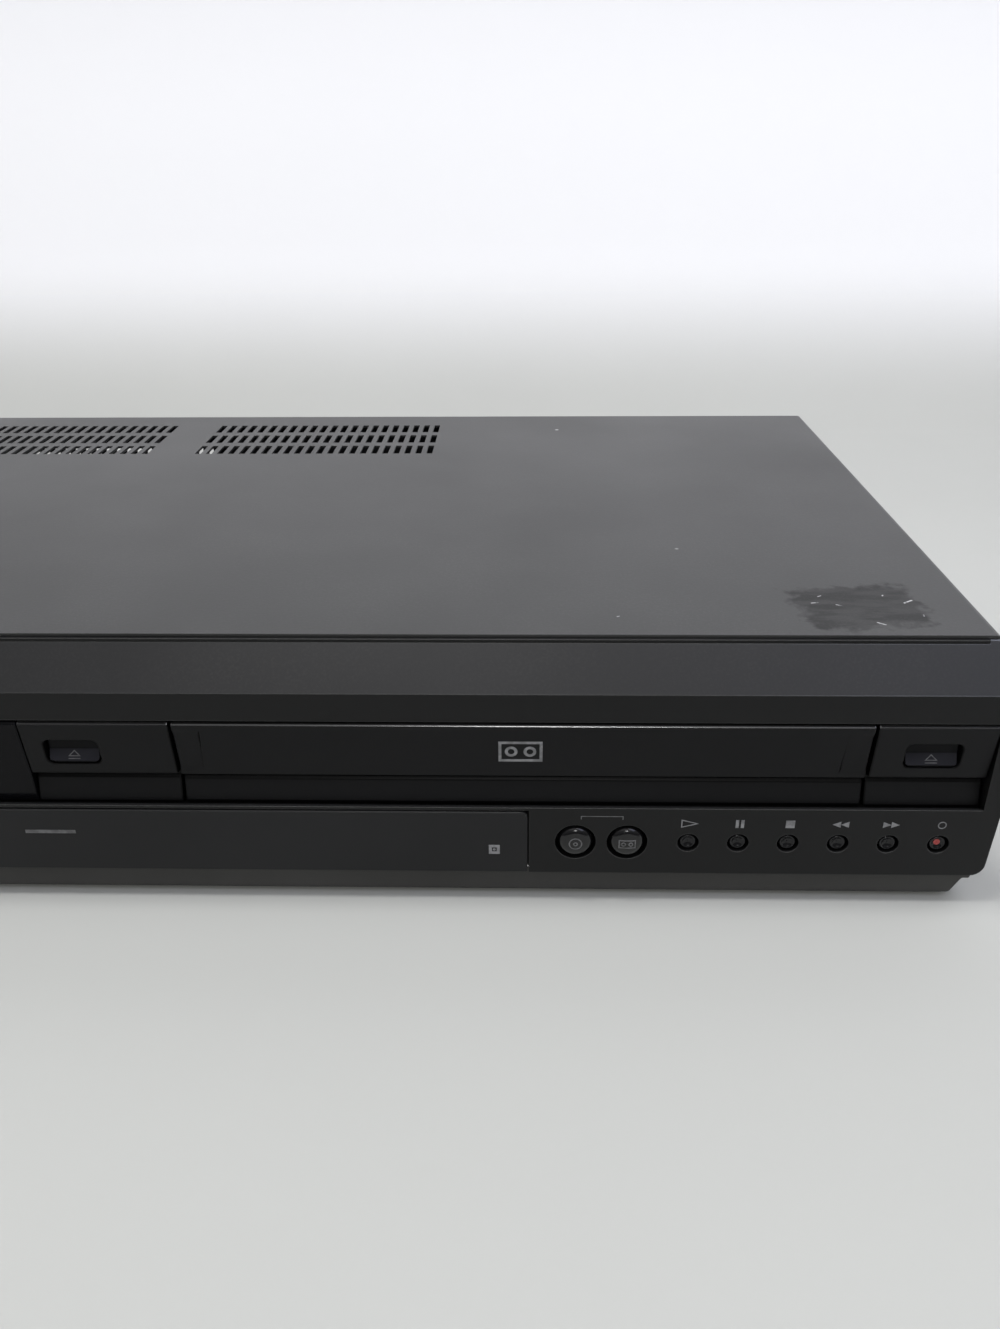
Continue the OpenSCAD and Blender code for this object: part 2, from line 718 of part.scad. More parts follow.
module cassette_flap() {
  arm_w = 2;
  color("#1f1f21") difference() {
    union() {
      difference() {
        along_x(flap_x0, flap_x1) skin_section();
        for (x = [flap_x0 - cut, flap_x1 - dish_w]) along_x(x, x + dish_w + cut) polygon([
          [-cut, dish_top_z], [bar_face(dish_top_z), dish_top_z],
          [bar_face(dish_top_z - 1.4) + dish_t, dish_top_z - 1.4],
          [bar_face(dish_z + 1.4) + dish_t, dish_z + 1.4], [bar_face(dish_z), dish_z], [-cut, dish_z]]);
        // hollow back
        along_x(flap_x0 + 2, flap_x1 - 2) polygon([[skin_d + cut, skin_top_z - 1.8], [2.2, skin_top_z - 1.8],
          [bar_lean + 1.9, bar_z + 1.6], [skin_d + cut, bar_z + 1.6]]);
      }
      // stiffening ribs across the hollow
      for (i = [1 : flap_ribs]) {
        x = flap_x0 + i * flap_w / (flap_ribs + 1);
        along_x(x - 0.7, x + 0.7) polygon([[1.5, skin_top_z - 1], [skin_d, skin_top_z - 1],
          [skin_d, bar_z + 1], [bar_lean + 1.4, bar_z + 1]]);
      }
      // arms that reach up to the hinge, with their pins
      for (x = [flap_x0, flap_x1 - arm_w]) {
        block([x, hinge_d - 1.2, skin_top_z - 1.5], [x + arm_w, hinge_d + 1.5, hinge_z]);
        rod_x(hinge_d, hinge_z, x, x + arm_w, 1.5);
      }
      rod_x(hinge_d, hinge_z, flap_x0 - run_gap - 2.4, flap_x0 + arm_w, hinge_r);
      rod_x(hinge_d, hinge_z, flap_x1 - arm_w, flap_x1 + run_gap + 2.4, hinge_r);
    }
  }
}

spring_x = flap_x0 + 2.4;
spring_turns = 6;
wire = 0.5;

// Closed torsion spring beside the flap's left arm, with its fixed leg against the band
module flap_spring() {
  coil_r = 1;
  color("#c8c9cb") translate([spring_x, fy(hinge_d), hinge_z]) {
    rotate([0, 90, 0]) for (i = [0 : spring_turns - 1])
      translate([0, 0, (i + 0.5) * wire]) rotate_extrude($fn = 24) translate([coil_r, 0])
        square([wire, wire * 1.02], center = true);
    translate([spring_turns * wire - wire, -0.25, 0.9]) cube([wire, wire, 3.2]);
  }
}

// ---------------------------------------------------------------- push buttons

board_d = slope_run + 4;
plunger_d = board_d - 2.2;
stem_end_d = plunger_d - key_travel - 0.4;

// Wedge-faced key in an eject pocket: its ridge runs across the middle
module pocket_button(x) {
  w = pocket_w - 2 * run_gap;
  h = pocket_h - 2 * run_gap;
  color("#242427") {
    intersection() {
      along_y(0, recess_floor_d + 2) translate([x, pocket_mid_z]) round_rect(w, h, 1.5);
      along_x(x - w, x + w) polygon([[2.6, pocket_mid_z + h], [2.6, pocket_mid_z + h / 2 - 0.4],
        [3, pocket_mid_z + 0.6], [3, pocket_mid_z], [1.6, pocket_mid_z - h / 2 + 0.5],
        [1.6, pocket_mid_z - h], [recess_floor_d + 2, pocket_mid_z - h],
        [recess_floor_d + 2, pocket_mid_z + h]]);
    }
    rod_y(x, pocket_mid_z, recess_floor_d + 2, stem_end_d, 1.8);
  }
}

module disc_eject_button() { pocket_button(disc_pocket_x); }
module tape_eject_button() { pocket_button(tape_pocket_x); }
module power_button() { pocket_button(power_pocket_x); }

// Domed round key with a flange behind the panel
module select_button(x) {
  r = select_dia / 2 - seat_gap;
  ball_r = 14;
  color("#18181a") {
    intersection() {
      rod_y(x, key_z, -select_proud, wall_t + 2, r);
      translate([x, fy(ball_r - select_proud), key_z]) rotate([90, 0, 0]) sphere(ball_r, $fn = 96);
    }
    rod_y(x, key_z, wall_t + 1.5, wall_t + 2.7, r + 1.2);
    rod_y(x, key_z, wall_t + 2, stem_end_d, 2);
  }
}

module disc_select_button() { select_button(select_x); }
module tape_select_button() { select_button(select_x + select_pitch); }

// Small round key that lies a little below the panel
module key(i) {
  x = key_x + i * key_pitch;
  r = key_dia / 2 - seat_gap;
  translate([x, fy(key_sink), key_z]) rotate([-90, 0, 0]) rotate_extrude()
    polygon([[0, 0.25], [r - 0.9, 0.25], [r - 0.4, 0], [r, 0.4], [r, wall_t + 0.9],
         [r + 0.9, wall_t + 0.9], [r + 0.9, wall_t + 1.9], [1.4, wall_t + 1.9],
         [1.4, stem_end_d - key_sink], [0, stem_end_d - key_sink]]);
}

module play_button() { color("#2a2a2c") key(0); }
module pause_button() { color("#2a2a2c") key(1); }
module stop_button() { color("#2a2a2c") key(2); }
module rewind_button() { color("#2a2a2c") key(3); }
module forward_button() { color("#2a2a2c") key(4); }
module record_button() { color("#2a2a2c") key(5); }

// A push switch in front of a board, its plunger towards the key
module push_switch(x, z) {
  block([x - 3, board_d - 1.6, z - 3], [x + 3, board_d, z + 3]);
  rod_y(x, z, plunger_d, board_d - 1.6, 1.4);
}

module button_board() {
  color("#7a6a3a") {
    block([door_x1 + 8, board_d, fascia_z + 2], [pan_half - 4, board_d + 1.6, recess_z - 3.6]);
    for (i = [0 : 1]) push_switch(select_x + i * select_pitch, key_z);
    for (i = [0 : key_count - 1]) push_switch(key_x + i * key_pitch, key_z);
    // arm that reaches up behind the tape eject button
    block([tape_pocket_x - 7, board_d, recess_z - 4], [tape_pocket_x + 7, board_d + 1.6, pocket_mid_z + 6]);
    push_switch(tape_pocket_x, pocket_mid_z);
    // brackets down to the pan
    for (x = [door_x1 + 12, pan_half - 16])
      block([x, board_d + 1.6, pan_top_z], [x + 8, board_d + 2.6, fascia_z + 8]);
  }
}

module display_board() {
  color("#7a6a3a") {
    block([-pan_half + 6, board_d, recess_z], [disc_panel_x1 - 2, board_d + 1.6, recess_top_z + 4]);
    push_switch(power_pocket_x, pocket_mid_z);
    push_switch(disc_pocket_x, pocket_mid_z);
    for (x = [-pan_half + 10, disc_panel_x1 - 12])
      block([x, recess_floor_d + wall_t, recess_top_z + 1], [x + 6, board_d, recess_top_z + 4]);
  }
  // fluorescent display
  color("#20302a") block([window_x0 + 8, board_d - 5, recess_z + 6],
                         [window_x1 - 8, board_d, recess_top_z - 6]);
}

// ---------------------------------------------------------------- disc drive

disc_d = tray_front_d + disc_dia / 2 + 5.5;
turn_hole_r = 19;
loader_d0 = door_wall_d + wall_t + 5;
loader_d1 = tray_front_d + tray_len + 10;
loader_z = pan_top_z;
loader_top_z = tray_top_z + 1.8;
frame_half = 34;
window_half = frame_half + 6;
rack_x = tray_x + tray_w / 2 - 22;
pinion_r = rack_mod * pinion_teeth / 2;
pinion_x = rack_x - pinion_r;
pinion_d = 22.5;
rack_z0 = tray_z - 3.4;
door_z = fascia_z;

module tray_door() {
  r = 2;
  top = door_top_z - run_gap;
  color("#232325") difference() {
    union() {
      along_y(0, door_t) {
        translate([door_x0, door_z]) square([door_x1 - door_x0, top - door_z - r]);
        translate([door_x0 + r, door_z]) square([door_x1 - door_x0 - 2 * r, top - door_z]);
        for (x = [door_x0 + r, door_x1 - r]) translate([x, top - r]) circle(r);
      }
      // clip rails on the back, where the tray hooks in
      for (s = [-1, 1]) block([tray_x + s * 50 - 5, door_t, tray_z + 0.6],
                  [tray_x + s * 50 + 5, tray_front_d, tray_top_z - 0.6]);
    }
    along_x(door_x0 - cut, door_x1 + cut) {
      // softened top edge
      polygon([[-cut, top + cut], [0.4, top + cut], [0.4, top], [0, top - 0.4], [-cut, top - 0.4]]);
      // rebate under the web of the lip
      translate([0.7, web_z - run_gap]) square([door_t, top]);
    }
  }
}

module disc_tray() {
  x0 = tray_x - tray_w / 2;
  x1 = tray_x + tray_w / 2;
  teeth = floor((tray_travel + 14) / (PI * rack_mod));
  color("#2c2c2e") difference() {
    union() {
      along_z(tray_z, tray_top_z) translate([tray_x, tray_front_d + tray_len / 2])
        round_rect(tray_w, tray_len, 4);
      // square front edge behind the door
      block([x0, tray_front_d, tray_z], [x1, tray_front_d + 6, tray_top_z]);
      // rack under the tray
      block([rack_x + 1.25 * rack_mod, pinion_d - 10, rack_z0],
            [rack_x + 5, pinion_d + tray_travel + 5, tray_z]);
      along_z(rack_z0, tray_z) for (i = [-3 : teeth - 4])
        translate([rack_x, pinion_d + (i + 0.5) * PI * rack_mod]) rotate(180) tooth(rack_mod, 0.7 * rack_mod);
    }
    // stepped recess for large and small discs
    post(tray_x, disc_d, tray_top_z - 2.2, tray_top_z + cut, disc_dia / 2);
    post(tray_x, disc_d, tray_top_z - 3.2, tray_top_z + cut, 40.5);
    // opening for the turntable and the pickup
    along_z(tray_z - cut, tray_top_z + cut) {
      translate([tray_x, disc_d]) circle(turn_hole_r);
      translate([tray_x - turn_hole_r, disc_d]) square([2 * turn_hole_r, lens_r0 + pickup_travel + 8]);
    }
    // clearance for the lowered turntable under the tray's rear edge
    block([tray_x - turn_hole_r, disc_d, tray_z - cut],
       [tray_x + turn_hole_r, tray_front_d + tray_len + cut, play_z - platter_drop + hub_h + 1]);
    // finger notches beside the disc
    for (s = [-1, 1]) post(tray_x + s * 62, disc_d, tray_top_z - 2.2, tray_top_z + cut, 9);
  }
}

module loader_frame() {
  color("#3a3a3d") difference() {
    union() {
      block([tray_x - loader_half, loader_d0, loader_z], [tray_x + loader_half, loader_d1, loader_z + 1.6]);
      for (s = [-1, 1]) {
        x = tray_x + (s > 0 ? loader_half - loader_wall_t : -loader_half);
        block([x, loader_d0, loader_z], [x + loader_wall_t, loader_d1, loader_top_z]);
        // ledge under the tray's edge and tabs over it, which run into the side wall
        lx = tray_x + (s > 0 ? loader_half - 7 : -loader_half + 1);
        block([lx, loader_d0, tray_z - 3], [lx + 6, loader_d1, tray_z - 0.3]);
        for (d = [loader_d0, (loader_d0 + loader_d1) / 2 - 6, loader_d1 - 12])
          block([lx, d, tray_top_z + rail_gap], [lx + 6, d + 10, loader_top_z - 0.2]);
      }
      block([tray_x - loader_half, loader_d1 - 2, loader_z], [tray_x + loader_half, loader_d1, tray_z - 4]);
      // axle of the tray pinion
      post(pinion_x, pinion_d, loader_z, tray_z - 1.2, 2);
      // bearings of the traverse
      for (s = [-1, 1]) block([tray_x + s * (frame_half + 3) - 2, traverse_d - 3.5, loader_z],
                  [tray_x + s * (frame_half + 3) + 2, traverse_d + 3.5, traverse_z + 2.4]);
    }
    // window round the traverse
    block([tray_x - window_half, disc_d - 22, loader_z - cut],
          [tray_x + window_half, traverse_d - 6, loader_z + 1.6 + cut]);
    rod_x(traverse_d, traverse_z, tray_x - frame_half - 7, tray_x + frame_half + 7, 1.5 + shaft_fit);
    drill(motor_x, motor_d, loader_z, loader_z + 3, 10.4);
  }
}

traverse_d = tray_front_d + tray_len + 4;
traverse_z = tray_z - 3;
// Half the thickness of the traverse's moulded frame
frame_t = 1.2;
// Height of the platter that plays a disc, just above the tray's disc recess
play_z = tray_top_z - 1.2;
hub_h = 1.2;
// Distance of the lens from the spindle at the inner end of its travel
lens_r0 = 23;
rod_r = 1;
rod_off = 27;
sled_half = 20;
sled_len = 16;
sled_d0 = disc_d + lens_r0 - 6;
frame_win_d1 = sled_d0 + pickup_travel + sled_len + 2;
tongue_half = 15;
// Angle by which the whole traverse hangs down at its front while the tray moves
traverse_tilt = asin(platter_drop / (traverse_d - disc_d));

// Tilts what the traverse carries from its level playing place down to its resting one
module on_traverse() {
  translate([0, fy(traverse_d), traverse_z]) rotate([traverse_tilt, 0, 0])
    translate([0, -fy(traverse_d), -traverse_z]) children();
}

module traverse_plate() {
  color("#3c3d40") on_traverse() difference() {
    union() {
      along_z(traverse_z - frame_t, traverse_z + frame_t) translate([tray_x, (disc_d + traverse_d) / 2])
        round_rect(2 * frame_half, traverse_d - disc_d, 2);
      // tongue that carries the spindle motor inside the tray's opening
      block([tray_x - tongue_half, disc_d - 10, traverse_z + frame_t - 1.6],
         [tray_x + tongue_half, disc_d + 4, traverse_z + frame_t]);
      rod_x(traverse_d, traverse_z, tray_x - frame_half - 4.6, tray_x + frame_half + 4.6, 1.5);
      rod_x(traverse_d, traverse_z, tray_x - frame_half, tray_x + frame_half, 2);
    }
    // window for the pickup
    block([tray_x - rod_off - 3.5, sled_d0 - 2, traverse_z - 3],
          [tray_x + rod_off + 3.5, frame_win_d1, traverse_z + 3]);
    drill(tray_x, disc_d, traverse_z - 1, traverse_z + frame_t, 2);
    for (s = [-1, 1]) rod_y(tray_x + s * rod_off, traverse_z, sled_d0 - 5, frame_win_d1 + 3, rod_r);
  }
}

module sled_rods() {
  color("#d6d8da") on_traverse()
    for (s = [-1, 1]) rod_y(tray_x + s * rod_off, traverse_z, sled_d0 - 5, frame_win_d1 + 3, rod_r);
}

module optical_sled() {
  lens_d = disc_d + lens_r0;
  top = traverse_z + 2.2;
  color("#8c8e91") on_traverse() difference() {
    union() {
      block([tray_x - sled_half, sled_d0, traverse_z - 2.2], [tray_x + sled_half, sled_d0 + sled_len, top]);
      block([tray_x - rod_off - 3, sled_d0 + 3, traverse_z - 1.9],
            [tray_x + rod_off + 3, sled_d0 + 13, traverse_z + 1.9]);
      post(tray_x, lens_d, top, play_z - 1.9, 5);
    }
    for (s = [-1, 1]) rod_y(tray_x + s * rod_off, traverse_z, sled_d0, sled_d0 + sled_len, rod_r + shaft_fit);
    // hollow under the lens for the optics
    block([tray_x - 8, sled_d0 + 3, traverse_z - 3], [tray_x + 8, sled_d0 + 11, traverse_z + 1]);
  }
  // objective lens
  color("#6fa8dc") on_traverse() intersection() {
    post(tray_x, lens_d, play_z - 1.9, play_z - 1.1, 3.4);
    translate([tray_x, fy(lens_d), play_z - 1.1 - 9]) sphere(9, $fn = 64);
  }
}

// Spindle motor's rotor, platter and centring hub on one shaft
module disc_turntable() {
  low = traverse_z + frame_t;
  color("#c0c2c5") on_traverse() translate([tray_x, fy(disc_d), 0]) rotate_extrude($fn = 64) polygon([
    [0, low - 2], [2 - shaft_fit, low - 2], [2 - shaft_fit, low + seat_gap], [11, low + seat_gap],
    [11, play_z - 0.8], [14, play_z - 0.8], [14, play_z], [7.4, play_z], [6.4, play_z + hub_h],
    [0, play_z + hub_h]]);
}

bridge_z = tray_top_z + 5;
puck_r = 14;

module clamp_bridge() {
  color("#b5b7ba") difference() {
    union() {
      block([tray_x - loader_half, disc_d - 17, bridge_z],
            [tray_x + loader_half, disc_d + 17, bridge_z + 1.2]);
      for (s = [-1, 1]) block([tray_x + (s > 0 ? loader_half - 2 : -loader_half), disc_d - 17, loader_top_z],
                  [tray_x + (s > 0 ? loader_half : -loader_half + 2), disc_d + 17, bridge_z]);
      // pressed rim round the puck
      post(tray_x, disc_d, bridge_z, bridge_z + 2, 12.5);
    }
    drill(tray_x, disc_d, bridge_z, bridge_z + 2, 10);
  }
}

module clamp_puck() {
  color("#d9d9d6") translate([tray_x, fy(disc_d), 0]) rotate_extrude($fn = 64) polygon([
    [0, bridge_z - 4.2], [5, bridge_z - 4.2], [5.6, bridge_z - 3.6], [puck_r, bridge_z - 2.4],
    [puck_r, bridge_z - 0.3], [9.7, bridge_z - 0.3], [9.7, bridge_z + 2.3], [puck_r - 1, bridge_z + 2.3],
    [puck_r - 1, bridge_z + 3.5], [0, bridge_z + 3.5]]);
}

pulley_r = 8;
motor_x = pinion_x - 34;
motor_d = 30;
motor_pulley_r = 3;

module tray_gear() {
  color("#e3e1d8") translate([pinion_x, fy(pinion_d), 0]) difference() {
    union() {
      translate([0, 0, rack_z0 - 0.6]) linear_extrude(3.1) spur(pinion_teeth, rack_mod);
      // belt pulley under the teeth
      translate([0, 0, loader_z + 1.9]) rotate_extrude($fn = 64) polygon([[0, 0], [pulley_r + 1, 0],
        [pulley_r + 1, 0.6], [pulley_r, 1.2], [pulley_r, 3], [pulley_r + 1, 3.6], [0, 3.6]]);
      translate([0, 0, loader_z + 2]) cylinder(h = rack_z0 - loader_z - 2, r = 5);
    }
    translate([0, 0, loader_z]) cylinder(h = 12, r = 2 + shaft_fit);
  }
}

module tray_motor() {
  color("#9a9c9f") {
    post(motor_x, motor_d, loader_z + 0.2, loader_z + 1.7, 10);
    post(motor_x, motor_d, loader_z + 1.7, loader_z + 6.4, 1);
  }
  color("#e3e1d8") difference() {
    post(motor_x, motor_d, loader_z + 2.4, loader_z + 6, motor_pulley_r);
    post(motor_x, motor_d, loader_z + 2, loader_z + 7, 1);
  }
}

module tray_belt() {
  color("#111112") along_z(loader_z + 3.3, loader_z + 4.7)
    belt_loop([pinion_x, pinion_d], pulley_r + 0.02, [motor_x, motor_d], motor_pulley_r + 0.02, 0.9);
}

// ---------------------------------------------------------------- tape deck

bracket_x = cassette_w / 2 + 6.2;
bracket_top_z = recess_top_z + 5.4;
slide_t = 1.9;
slide_in = bracket_x - 0.4 - slide_t;
cage_t = 0.9;
cage_half = slide_in - 0.4;
cage_top_z = cage_z + cassette_h + 1;
stud_z = cage_z + 13;
guide_path_r = 42;
guide_sweep = 75;
guide_start = 36;
capstan_at = [slot_x + 66, drum_d - 14];
clutch_at = [slot_x, reel_d + 24];
capstan_r = 1.6;
flywheel_r = 17;
clutch_pulley_r = 8;
pinch_pivot = [slot_x + 86, drum_d - 28];
pinch_roller_r = 6;
pinch_reach = 17.5;
// Angle between the resting arm and the line from its pivot to the capstan
pinch_open = 22;
pinch_dir = atan2(capstan_at[1] - pinch_pivot[1], capstan_at[0] - pinch_pivot[0]) + pinch_open;
pinch_at = pinch_pivot + pinch_reach * [cos(pinch_dir), sin(pinch_dir)];

module deck_plate() {
  color("#b9bbbe") difference() {
    union() {
      block([deck_x0, deck_d0, deck_z], [deck_x1, deck_d1, deck_top_z]);
      // spindle posts of the reel tables, the clutch and the pinch arm
      for (x = [supply_x, takeup_x]) post(x, reel_d, deck_z, deck_top_z + 10, 1.5);
      post(pinch_pivot[0], pinch_pivot[1], deck_z, deck_top_z + 14, 1.5);
      // bearing boss of the capstan
      post(capstan_at[0], capstan_at[1], deck_z, deck_top_z + 3.5, 4.5);
    }
    // slots of the tape guides, curved round the drum
    for (s = [-1, 1]) translate([slot_x, fy(drum_d), deck_z - cut]) rotate(-90) mirror([0, s < 0 ? 1 : 0, 0])
      rotate(guide_start - 5) rotate_extrude(angle = guide_sweep + 12)
        translate([guide_path_r - 2.3, 0]) square([4.6, deck_t + 2 * cut]);
    // large cut-outs that lighten the plate, in front of the reels and between them
    along_z(deck_z - cut, deck_top_z + cut) for (o = [[-62, 44, 33], [0, 48, 13], [62, 44, 33]]) {
      len = reel_d - o[2] - deck_d0 - 17;
      translate([slot_x + o[0], deck_d0 + 17 + len / 2]) round_rect(o[1], len, 4);
    }
    drill(capstan_at[0], capstan_at[1], deck_z, deck_top_z + 8, capstan_r + shaft_fit);
    drill(clutch_at[0], clutch_at[1], deck_z, deck_top_z, 2 + shaft_fit);
    for (p = deck_posts) drill(p[0], p[1], deck_z, deck_top_z, 1.6);
  }
}

// Upright sides of the deck, each with a straight slot for the slides' studs
module side_brackets() {
  d0 = carriage_d - 3;
  d1 = carriage_d + carriage_len + load_travel + 4;
  color("#b9bbbe") for (s = [-1, 1]) difference() {
    union() {
      x = s > 0 ? slot_x + bracket_x : slot_x - bracket_x - 1;
      along_x(x, x + 1) polygon([[d0, deck_top_z], [d1, deck_top_z], [d1, bracket_top_z - 10],
        [d1 - 12, bracket_top_z], [d0, bracket_top_z]]);
      fx = s > 0 ? x + 0.2 : x - 1;
      block([fx, d0 + 40, deck_top_z], [fx + 1.8, d0 + 54, deck_top_z + 1]);
    }
    x = s > 0 ? slot_x + bracket_x - cut : slot_x - bracket_x - 1 - cut;
    along_x(x, x + 3) {
      translate([stud_d - 2.3, stud_z - 2.3]) square([carriage_stud_pitch + load_travel + 4.6, 4.6]);
      translate([(d0 + d1) / 2 - 30, deck_top_z + 6]) square([60, 10]);
    }
  }
}

stud_d = carriage_d + 12;
carriage_stud_pitch = 32;
lift_pin_d = carriage_d + 28;

// The two driven slides and the cross bar that joins them behind the cage
module carriage_slides() {
  bar_d = carriage_d + carriage_len + 1.5;
  color("#d8d6cc") {
    for (s = [-1, 1]) {
      x = s > 0 ? slot_x + slide_in : slot_x - slide_in - slide_t;
      difference() {
        along_x(x, x + slide_t) translate([carriage_d + 4, cage_z + 2]) square([carriage_len - 2.5 + 2, 22]);
        // upright slot for the cage's pin
        along_x(x - cut, x + slide_t + cut) {
          translate([lift_pin_d, cage_z + 6 + 2]) circle(2.3);
          translate([lift_pin_d - 2.3, cage_z + 6 + 2]) square([4.6, drop_travel + 2]);
        }
      }
      sx = s > 0 ? slot_x + slide_in + slide_t : slot_x - slide_in - slide_t - 1.8;
      for (i = [0, 1]) rod_x(stud_d + i * carriage_stud_pitch, stud_z, sx, sx + 1.8, 2);
      block([x, bar_d, cage_z + 20], [x + slide_t, bar_d + 3, cage_top_z + 3.2]);
    }
    block([slot_x - slide_in - slide_t, bar_d, cage_top_z + 1.4],
          [slot_x + slide_in + slide_t, bar_d + 3, cage_top_z + 3.2]);
  }
}

// Sheet cage that holds the cassette, open at both ends and along the middle of its floor
module cassette_carriage() {
  half = cage_half;
  d1 = carriage_d + carriage_len;
  color("#c4c6c9") {
    difference() {
      block([slot_x - half, carriage_d, cage_z - cage_t], [slot_x + half, d1, cage_top_z + cage_t]);
      block([slot_x - half + cage_t, carriage_d - cut, cage_z],
            [slot_x + half - cage_t, d1 + cut, cage_top_z]);
      block([slot_x - half + 14, carriage_d - cut, cage_z - cage_t - cut],
            [slot_x + half - 14, d1 + cut, cage_z + cut]);
      // windows in the roof
      along_z(cage_top_z - cut, cage_top_z + cage_t + cut) {
        for (x = [-58, 0, 58]) translate([slot_x + x, carriage_d + carriage_len / 2]) round_rect(44, 32, 4);
      }
    }
    // lift pins
    for (s = [-1, 1]) {
      x = slot_x + (s > 0 ? half - 0.2 : -half - slide_t - 0.2);
      rod_x(lift_pin_d, cage_z + 20, x, x + slide_t + 0.4, 1.9);
    }
  }
}

drum_low_z = 4.8;
drum_mid_z = 18;
drum_top_z = 34;
drum_base_z = deck_top_z - 1;

// Moves a shape from the drum's own axis to its tilted place on the deck
module on_drum_axis() {
  translate([slot_x, fy(drum_d), drum_base_z]) rotate([-drum_tilt, 0, 0]) children();
}

module lower_drum() {
  color("#c9cbce") {
    // wedge that gives the drum its tilt
    difference() {
      post(slot_x, drum_d, deck_top_z, deck_top_z + 8, 20);
      on_drum_axis() translate([0, 0, drum_low_z + 1]) cylinder(h = 30, r = 60);
    }
    on_drum_axis() difference() {
      union() {
        translate([0, 0, drum_low_z]) cylinder(h = drum_mid_z - drum_low_z, r = drum_r, $fn = 96);
        translate([0, 0, drum_low_z]) cylinder(h = drum_top_z + 2 - drum_low_z, r = 3);
      }
      // ledge that guides the tape's edge
      translate([0, 0, drum_low_z + 4]) difference() {
        cylinder(h = 20, r = drum_r + cut, $fn = 96);
        translate([0, 0, -cut]) cylinder(h = 30, r = drum_r - 0.25, $fn = 96);
      }
    }
  }
}

module head_drum() {
  color("#d9dbde") on_drum_axis() difference() {
    union() {
      translate([0, 0, drum_mid_z + 0.3])
        cylinder(h = drum_top_z - drum_mid_z - 0.3, r = drum_r - 0.25, $fn = 96);
      translate([0, 0, drum_top_z]) cylinder(h = 5, r = 17);
      translate([0, 0, drum_top_z + 5]) cylinder(h = 1, r = 12);
    }
    translate([0, 0, drum_mid_z]) cylinder(h = drum_top_z + 2.2 - drum_mid_z, r = 3 + shaft_fit);
    // screw wells and head windows
    for (a = [0 : 90 : 270]) rotate(a + 45) {
      translate([23, 0, drum_top_z - 4]) cylinder(h = 5, r = 2);
      translate([drum_r - 2, -1.5, drum_mid_z]) cube([3, 3, 2.2]);
    }
  }
}

// Reel table with a splined spindle
module reel(x) {
  color("#e3e1d8") translate([x, fy(reel_d), deck_top_z]) difference() {
    union() {
      rotate_extrude($fn = 96) polygon([[0, 0.3], [reel_r, 0.3], [reel_r, 2.9], [10, 2.9], [10, 3.9],
                       [3.6, 3.9], [3.6, 11.9], [2.4, 13.3], [0, 13.3]]);
      for (a = [0 : 60 : 300]) rotate(a) translate([3, -0.6, 3.4]) cube([2, 1.2, 7.5]);
    }
    cylinder(h = 10.3, r = 1.5 + shaft_fit);
    // grip grooves round the rim
    for (a = [0 : 20 : 340]) rotate(a) translate([reel_r, 0, 0]) cylinder(h = 4, r = 0.7, $fn = 16);
  }
}

module supply_reel() { reel(supply_x); }
module takeup_reel() { reel(takeup_x); }

// Belt pulley below the deck and drive wheel above it, on one shaft
module reel_clutch() {
  color("#e3e1d8") translate([clutch_at[0], fy(clutch_at[1]), 0]) {
    translate([0, 0, deck_top_z + 0.3]) cylinder(h = 2.4, r = 7);
    translate([0, 0, deck_z - 5]) cylinder(h = 7, r = 2);
    translate([0, 0, deck_z - 4.6]) rotate_extrude() polygon([[0, 0], [clutch_pulley_r + 1, 0],
      [clutch_pulley_r + 1, 0.6], [clutch_pulley_r, 1], [clutch_pulley_r, 3.2],
      [clutch_pulley_r + 1, 3.6], [clutch_pulley_r + 1, 4.2], [0, 4.2]]);
  }
}

module capstan() {
  color("#cfd1d4") translate([capstan_at[0], fy(capstan_at[1]), 0]) {
    translate([0, 0, deck_z - 5]) cylinder(h = 37, r = capstan_r);
    translate([0, 0, deck_z - 4.6]) rotate_extrude($fn = 96) polygon([[0, 0], [flywheel_r + 1, 0],
      [flywheel_r + 1, 0.6], [flywheel_r, 1], [flywheel_r, 3.2],
      [flywheel_r + 1, 3.6], [flywheel_r + 1, 4.2], [0, 4.2]]);
  }
}

module capstan_belt() {
  color("#111112") along_z(deck_z - 3.2, deck_z - 1.8)
    belt_loop(capstan_at, flywheel_r + 0.02, clutch_at, clutch_pulley_r + 0.02, 0.9);
}

module pinch_arm() {
  color("#a7a9ac") difference() {
    union() {
      post(pinch_pivot[0], pinch_pivot[1], deck_top_z + 0.3, deck_top_z + 12, 3.4);
      along_z(deck_top_z + 2, deck_top_z + 4) belt_area(pinch_pivot, 3.4, pinch_at, 3);
      post(pinch_at[0], pinch_at[1], deck_top_z + 2, deck_top_z + 22, 1.2);
    }
    drill(pinch_pivot[0], pinch_pivot[1], deck_top_z, deck_top_z + 12, 1.5 + shaft_fit);
  }
}

module pinch_roller() {
  color("#1a1a1b") translate([pinch_at[0], fy(pinch_at[1]), deck_top_z + 4.3]) difference() {
    cylinder(h = 16, r = pinch_roller_r);
    translate([0, 0, -cut]) cylinder(h = 20, r = 1.2 + shaft_fit);
  }
}

// Place of a tape guide at rest, s being -1 for the entry side and 1 for the exit side
function guide_at(s) = [slot_x + s * guide_path_r * sin(guide_start),
                        drum_d - guide_path_r * cos(guide_start)];

// A tape guide: foot in the slot, base on the deck and flanged roller
module tape_guide(s) {
  p = guide_at(s);
  color("#d0d2d5") translate([p[0], fy(p[1]), deck_top_z]) rotate_extrude() polygon([
    [0, -deck_t - 0.3], [1.9, -deck_t - 0.3], [1.9, 0.3], [3.4, 0.3], [3.4, 3], [2.4, 3], [2.4, 5],
    [1.8, 5], [1.8, 18], [2.6, 18], [2.6, 19.4], [0, 19.4]]);
}

module entry_guide() { tape_guide(-1); }
module exit_guide() { tape_guide(1); }

